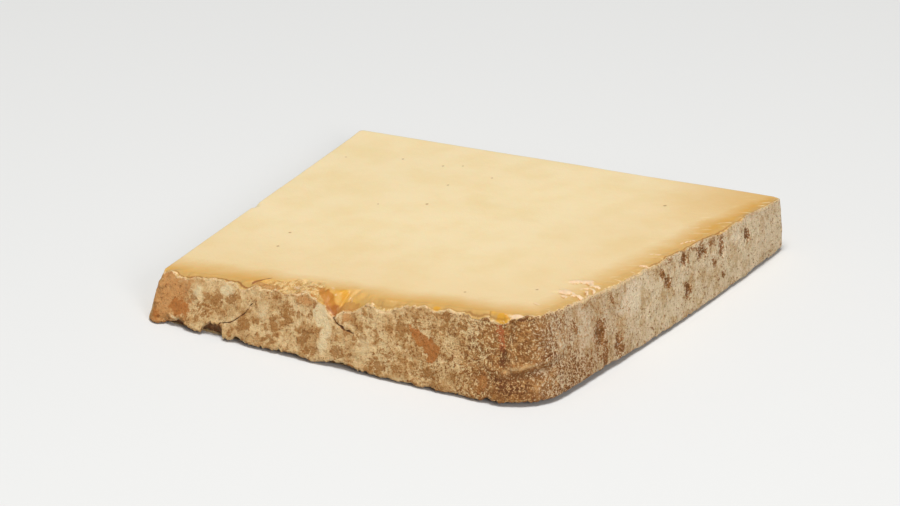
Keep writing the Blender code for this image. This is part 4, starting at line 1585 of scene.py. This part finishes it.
@dataclass
class SlabMarks:
    """Where the colours of the slab are, as numbers for the mesh to carry."""

    carried: ClassVar[tuple[str, ...]] = (
        "inward", "skin", "under", "depth", "pitted", "crest", "hollow", "ledge", "torn", "shaded"
    )
    form: SlabForm
    marks: tuple[tuple[Tint, Face, tuple[Spot, ...]], ...] = (
        (Tint.WARM, Face.TOP, rows(
            Spot,
            (-4.6, -95.8, 5.4, 2.6, 1.3), (82.0, -100.2, 5.0, 2.0, 1.4), (76.0, -98.6, 4.0, 1.2, 0.6),
            (47.4, -99.8, 2.6, 1.6, 1.3),
        )),
        (Tint.WARM, Face.FRONT, rows(
            Spot,
            (6.0, 11.0, 17.0, 16.0, 1.2), (80.0, 25.5, 7.0, 2.4, 0.8), (104.0, 22.4, 4.0, 2.4, 0.9),
        )),
        (Tint.RUST, Face.TOP, rows(
            Spot,
            (-11.0, -99.4, 4.6, 6.5, 1.4, -1.1), (-18.5, -100.4, 7.0, 2.0, 0.6, -1.0),
        )),
        (Tint.DEEP, Face.TOP, rows(
            Spot,
            (-3.6, -101.8, 3.0, 1.2, 1.0, 0.4), (-5.6, -103.6, 4.0, 2.0, 0.8),
        )),
        (Tint.DEEP, Face.FRONT, rows(
            Spot,
            (182.0, 31.4, 2.4, 4.0, 1.1, -0.4), (184.4, 26.0, 1.3, 4.0, 1.1, -0.2),
        )),
        (Tint.TAN, Face.TOP, rows(
            Spot,
            (2.6, -101.4, 7.0, 3.6, 0.9), (-43.5, -97.6, 9.5, 2.0, 0.9, 1.2),
            (-22.0, -93.0, 4.0, 2.5, 0.6),
        )),
        (Tint.TAN, Face.FRONT, rows(
            Spot,
            (33.4, 16.2, 3.4, 3.4), (41.4, 18.2, 3.4, 3.2), (28.9, 11.2, 6.0, 4.2, 0.7),
            (67.0, 12.5, 3.0, 4.6, 1.2, -0.5), (52.0, 9.6, 4.0, 3.0), (65.2, 23.5, 3.6, 2.2, 0.8),
            (74.1, 18.8, 4.2, 4.6, 0.8), (83.7, 20.1, 3.2, 3.0, 0.6), (83.6, 10.4, 4.0, 5.0, 1.0, 0.6),
            (87.1, 5.2, 2.6, 1.8), (103.0, 7.8, 4.6, 3.6), (124.1, 5.6, 5.6, 4.2, 0.8),
            (133.5, 23.9, 4.4, 3.2), (149.7, 8.0, 5.0, 3.2), (140.0, 14.0, 26.0, 20.0, 0.35),
            (153.6, 33.0, 3.6, 2.6), (163.0, 31.0, 4.0, 3.4, 0.8),
        )),
        (Tint.BROWN, Face.TOP, rows(
            Spot,
            (-47.8, -94.1, 1.1, 6.4, 1.1, 0.74), (-39.5, -92.5, 3.0, 0.8, 0.8, 1.0),
        )),
        (Tint.BROWN, Face.FRONT, rows(
            Spot,
            (185.2, 22.0, 1.8, 5.5, 0.7, -0.3), (193.0, 38.8, 5.0, 1.0, 1.6), (12.0, 1.6, 6.0, 2.0, 1.0),
            (85.5, 23.8, 1.3, 1.2), (185.9, 21.4, 2.2, 4.5), (192.0, 9.5, 10.0, 5.0, 0.7),
        )),
        (Tint.BROWN, Face.RIGHT, rows(
            Spot,
            (42.5, 19.0, 5.6, 8.4, 1.05, 0.3), (22.0, 6.0, 24.0, 13.0, 0.5), (55.5, 9.0, 4.6, 6.4, 1.1),
            (44.5, 9.5, 2.4, 8.5, 1.3, 0.2), (43.0, 7.4, 1.6, 6.0, 0.9), (25.5, 27.3, 1.6, 4.4, 1.1),
            (3.8, 21.6, 6.0, 1.3, 1.2), (55.6, 31.0, 1.6, 3.6), (97.2, 29.0, 2.6, 2.4),
            (100.4, 23.2, 3.6, 4.0), (117.1, 13.8, 3.6, 5.6), (116.4, 28.1, 4.2, 3.2),
            (117.0, 31.5, 2.2, 3.0, 0.9), (131.0, 29.6, 4.6, 2.2, 0.9), (124.0, 32.0, 3.4, 1.2, 0.9),
            (141.5, 28.6, 3.6, 2.2, 0.9), (150.5, 27.6, 2.8, 2.4, 0.9), (106.0, 33.2, 3.0, 1.0, 0.8),
            (132.2, 26.6, 5.0, 3.2), (149.5, 22.9, 2.6, 5.2), (141.6, 18.8, 2.0, 3.6),
            (149.0, 10.2, 2.0, 2.8), (173.4, 20.5, 3.2, 4.2),
        )),
        (Tint.BLUSH, Face.FRONT, rows(
            Spot,
            (15.5, 9.0, 7.0, 5.0, 0.8), (1.5, 4.0, 5.0, 3.5, 0.6), (140.8, 23.4, 3.6, 2.8, 1.6, -0.9),
            (145.4, 20.8, 4.6, 4.0, 1.7, -0.7), (149.4, 18.6, 5.0, 4.6, 1.6, -0.3),
            (150.2, 15.8, 3.0, 3.6, 1.5), (177.2, 9.1, 3.5, 7.0, 0.9),
        )),
        (Tint.CHALK, Face.TOP, rows(
            Spot,
            (-9.6, -95.0, 0.9, 4.4, 0.8, -0.9), (-29.0, -93.0, 5.0, 2.2, 0.7, 0.8),
            (-22.0, -98.4, 4.0, 1.6, 0.6), (87.0, -98.7, 6.0, 1.2, 1.1),
        )),
        (Tint.CHALK, Face.FRONT, rows(
            Spot,
            (14.0, 4.4, 1.5, 2.4, 1.3, -2.0), (188.0, 15.6, 5.0, 1.3), (197.0, 19.0, 5.0, 1.4, 1.0, 2.0),
            (90.5, 20.5, 4.6, 5.5, 1.4, -0.4), (94.5, 12.0, 4.0, 7.0, 1.1), (37.3, 20.5, 5.0, 2.6, 0.8),
            (22.5, 17.5, 4.5, 4.0, 0.6), (59.4, 16.2, 4.0, 4.6, 0.5), (116.3, 13.6, 6.0, 5.0, 0.5),
        )),
        (Tint.CHALK, Face.RIGHT, rows(
            Spot,
            (31.5, 25.0, 7.0, 12.0, 1.4), (12.5, 24.0, 2.4, 7.0, 0.8), (70.0, 25.5, 13.0, 9.0, 1.3),
            (163.0, 24.0, 6.0, 4.0, 0.8),
        )),
    )

    edge: float = 0.4
    top_above: float = 1.0
    least_gritty: float = 0.2
    gritty_from: Pair = (135.0, 185.0)
    orange: float = 0.55
    orange_left: Pair = (74.0, 90.0)
    orange_right: Pair = (122.0, 106.0)
    warm_falls: Pair = (0.8, 4.8)
    rust_falls: Pair = (4.2, 9.0)

    @staticmethod
    def names() -> tuple[str, ...]:
        """The names of all the numbers."""
        tints = tuple(tint.value for tint in Tint)
        zones = ("side", "corner", "gritty", "lined", "edged")
        return (*SlabMarks.carried, *zones, *tints)

    def work_out(self, rings: list[Ring]) -> dict[str, Array]:
        """Works out every number at every point of the skin.

        A mark covers its spot, its edge bent by noise, and where marks of one tint meet the
        stronger one counts.

        Args:
            rings: The rings of the skin.

        Returns:
            The numbers by name.
        """
        form = self.form
        points = np.concatenate([ring.points for ring in rings])
        columns = np.concatenate([ring.columns for ring in rings])
        names = (*self.carried, "fall")
        carried = {name: np.concatenate([ring.note(name) for ring in rings]) for name in names}
        skin, fall = carried["skin"], carried.pop("fall")
        plan, up = points[:, :2], points[:, 2]
        places = {Face.TOP: (plan[:, 0], plan[:, 1])}
        places |= {face: (along, up) for face, along in zip(Face, form.along(plan))}
        share = {Face.FRONT: form.is_front[columns] * skin, Face.RIGHT: form.is_right[columns] * skin}
        share[Face.TOP] = (1.0 - skin) * (up > self.top_above)
        ragged = self.edge * form.noise.rough(points, Texture.MARK_EDGE)
        values = carried | {tint.value: np.zeros(len(points)) for tint in Tint}
        for tint, face, spots in self.marks:
            for spot in spots:
                cover = spot.strength * spot.cover(*places[face], ragged) * share[face]
                values[tint.value] = np.maximum(values[tint.value], cover)
        values["side"] = form.is_right[columns]
        along_front = places[Face.FRONT][0]
        values["corner"] = form.corner_share(along_front, places[Face.RIGHT][0]) * skin
        gritty = self.least_gritty + (1.0 - self.least_gritty) * smooth(along_front, *self.gritty_from)
        values["gritty"] = np.maximum(gritty, form.is_right[columns])
        orange = smooth(along_front, *self.orange_left) * smooth(along_front, *self.orange_right)
        warm = self.orange * orange * np.interp(fall, self.warm_falls, (0.0, 1.0))
        formed = {"warm": warm, "rust": smooth(fall, *self.rust_falls)}
        for name, value in formed.items():
            values[name] = np.maximum(values[name], value * (1.0 - skin))
        values["lined"] = form.lining()[columns]
        values["edged"] = form.is_rind[columns]
        return values


@dataclass
class CheeseSlab:
    """The slab as one skin, with its marks and its finish."""

    form: SlabForm = field(default_factory=SlabForm)
    name: str = "cheese_slab"

    def build(self) -> bpy.types.Object:
        """Makes the skin's mesh from its rings and gives it its marks and its material.

        Returns:
            The finished piece.
        """
        form = self.form
        sides = form.side_rings()
        tops = form.top_rings(sides[-1].points)
        rings = form.cap(sides[0], False)[::-1] + sides + tops + form.cap(tops[-1], True)
        points = np.concatenate([ring.points for ring in rings])
        points[:, :2] -= np.array(form.box_middle)
        mesh = bpy.data.meshes.new(self.name)
        mesh.from_pydata((points * MM).tolist(), [], self.faces(rings).tolist())
        mesh.polygons.foreach_set("use_smooth", np.ones(len(mesh.polygons), bool))
        for name, values in SlabMarks(form).work_out(rings).items():
            mesh.attributes.new(name, "FLOAT", "POINT").data.foreach_set("value", values.astype(np.float32))
        mesh.materials.append(CheeseFinish(form).material())
        LOG.info("%s: %d triangles", self.name, len(mesh.polygons))
        return add_object(self.name, mesh)

    def faces(self, rings: list[Ring]) -> Array:
        """The triangles between all rings, facing outwards."""
        counts = [len(ring.points) for ring in rings]
        starts = np.cumsum([0, *counts])
        faces = []
        for k in range(len(rings) - 1):
            if counts[k] >= counts[k + 1]:
                faces.append(band(starts[k], counts[k], starts[k + 1], counts[k + 1]))
            else:
                faces.append(band(starts[k + 1], counts[k + 1], starts[k], counts[k])[:, ::-1])
        return np.concatenate(faces)


# The studio


@dataclass
class Studio:
    """A plain pale floor, the camera, and soft lights: the name, place, size and power of each."""

    floor_size: float = 12.0
    floor_tone: Tone = Tone(224, 224, 222)
    floor_roughness: float = 0.9
    world_tone: Tone = Tone(236, 236, 238)
    world_strength: float = 0.3
    lights: tuple[tuple[str, tuple[float, float, float], float, float], ...] = (
        ("key", (0.25, -0.5, 2.7), 1.0, 63.0), ("fill", (2.5, -1.9, 1.4), 1.2, 36.0)
    )
    azimuth: float = 29.392
    elevation: float = 23.5
    distance: float = 2.4
    lens: float = 200.0
    sensor: float = 36.0
    sight: float = 50.0
    target: Pair = (-0.018597, 0.027071)

    def floor(self) -> bpy.types.Object:
        """Lays the floor at the height that the slab stands on."""
        half = self.floor_size / 2.0
        mesh = bpy.data.meshes.new("floor")
        corners = [(-half, -half, 0.0), (half, -half, 0.0), (half, half, 0.0), (-half, half, 0.0)]
        mesh.from_pydata(corners, [], [(0, 1, 2, 3)])
        sheet = Sheet("floor")
        mesh.materials.append(sheet.shade({"Base Color": self.floor_tone, "Roughness": self.floor_roughness}))
        return add_object("floor", mesh)

    def light(self, name: str, place: tuple[float, float, float], size: float, power: float) -> None:
        """Hangs a square soft light that points at the slab.

        Args:
            name: The light's name.
            place: Where it hangs, in metres.
            size: The length of its sides.
            power: Its power in watts.
        """
        lamp = bpy.data.lights.new(name, "AREA")
        lamp.shape = "SQUARE"
        lamp.size = size
        lamp.energy = power
        thing = add_object(name, lamp)
        thing.location = place
        thing.rotation_euler = (-Vector(place)).to_track_quat("-Z", "Y").to_euler()

    def camera(self) -> None:
        """Places the camera on its line of sight, at its distance from the target."""
        turn, rise = math.radians(self.azimuth), math.radians(self.elevation)
        right = Vector((math.cos(turn), math.sin(turn), 0.0))
        back = Vector((math.sin(turn) * math.cos(rise), -math.cos(turn) * math.cos(rise), math.sin(rise)))
        up = back.cross(right)
        axes = Matrix((right, up, back)).transposed().to_4x4()
        axes.translation = Vector((*self.target, 0.0)) + back * self.distance
        lens = bpy.data.cameras.new("camera")
        lens.lens = self.lens
        lens.sensor_width = self.sensor
        lens.clip_end = self.sight
        camera = add_object("camera", lens)
        camera.matrix_world = axes
        bpy.context.scene.camera = camera

    def build(self) -> bpy.types.Object:
        """Sets up the world, the lights and the camera, and returns the floor."""
        world = bpy.data.worlds.new("studio")
        world.use_nodes = True
        background = world.node_tree.nodes["Background"]
        background.inputs["Color"].default_value = self.world_tone.linear()
        background.inputs["Strength"].default_value = self.world_strength
        bpy.context.scene.world = world
        bpy.context.scene.view_settings.view_transform = "Standard"
        for light in self.lights:
            self.light(*light)
        self.camera()
        return self.floor()


def main() -> None:
    """Builds the slab and the studio, and says what stands for what."""
    logging.basicConfig(level=logging.INFO, format="%(message)s")
    slab = CheeseSlab().build()
    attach(slab, BODY)
    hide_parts(NODE)
    Studio().build()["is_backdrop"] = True
    boxes = {"cad": CAD_BOX, "visual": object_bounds()}
    for name, (low, high) in boxes.items():
        LOG.info("%s box in mm: %s to %s", name, *([round(v / MM, 1) for v in end] for end in (low, high)))


if __name__ == "__main__":
    main()
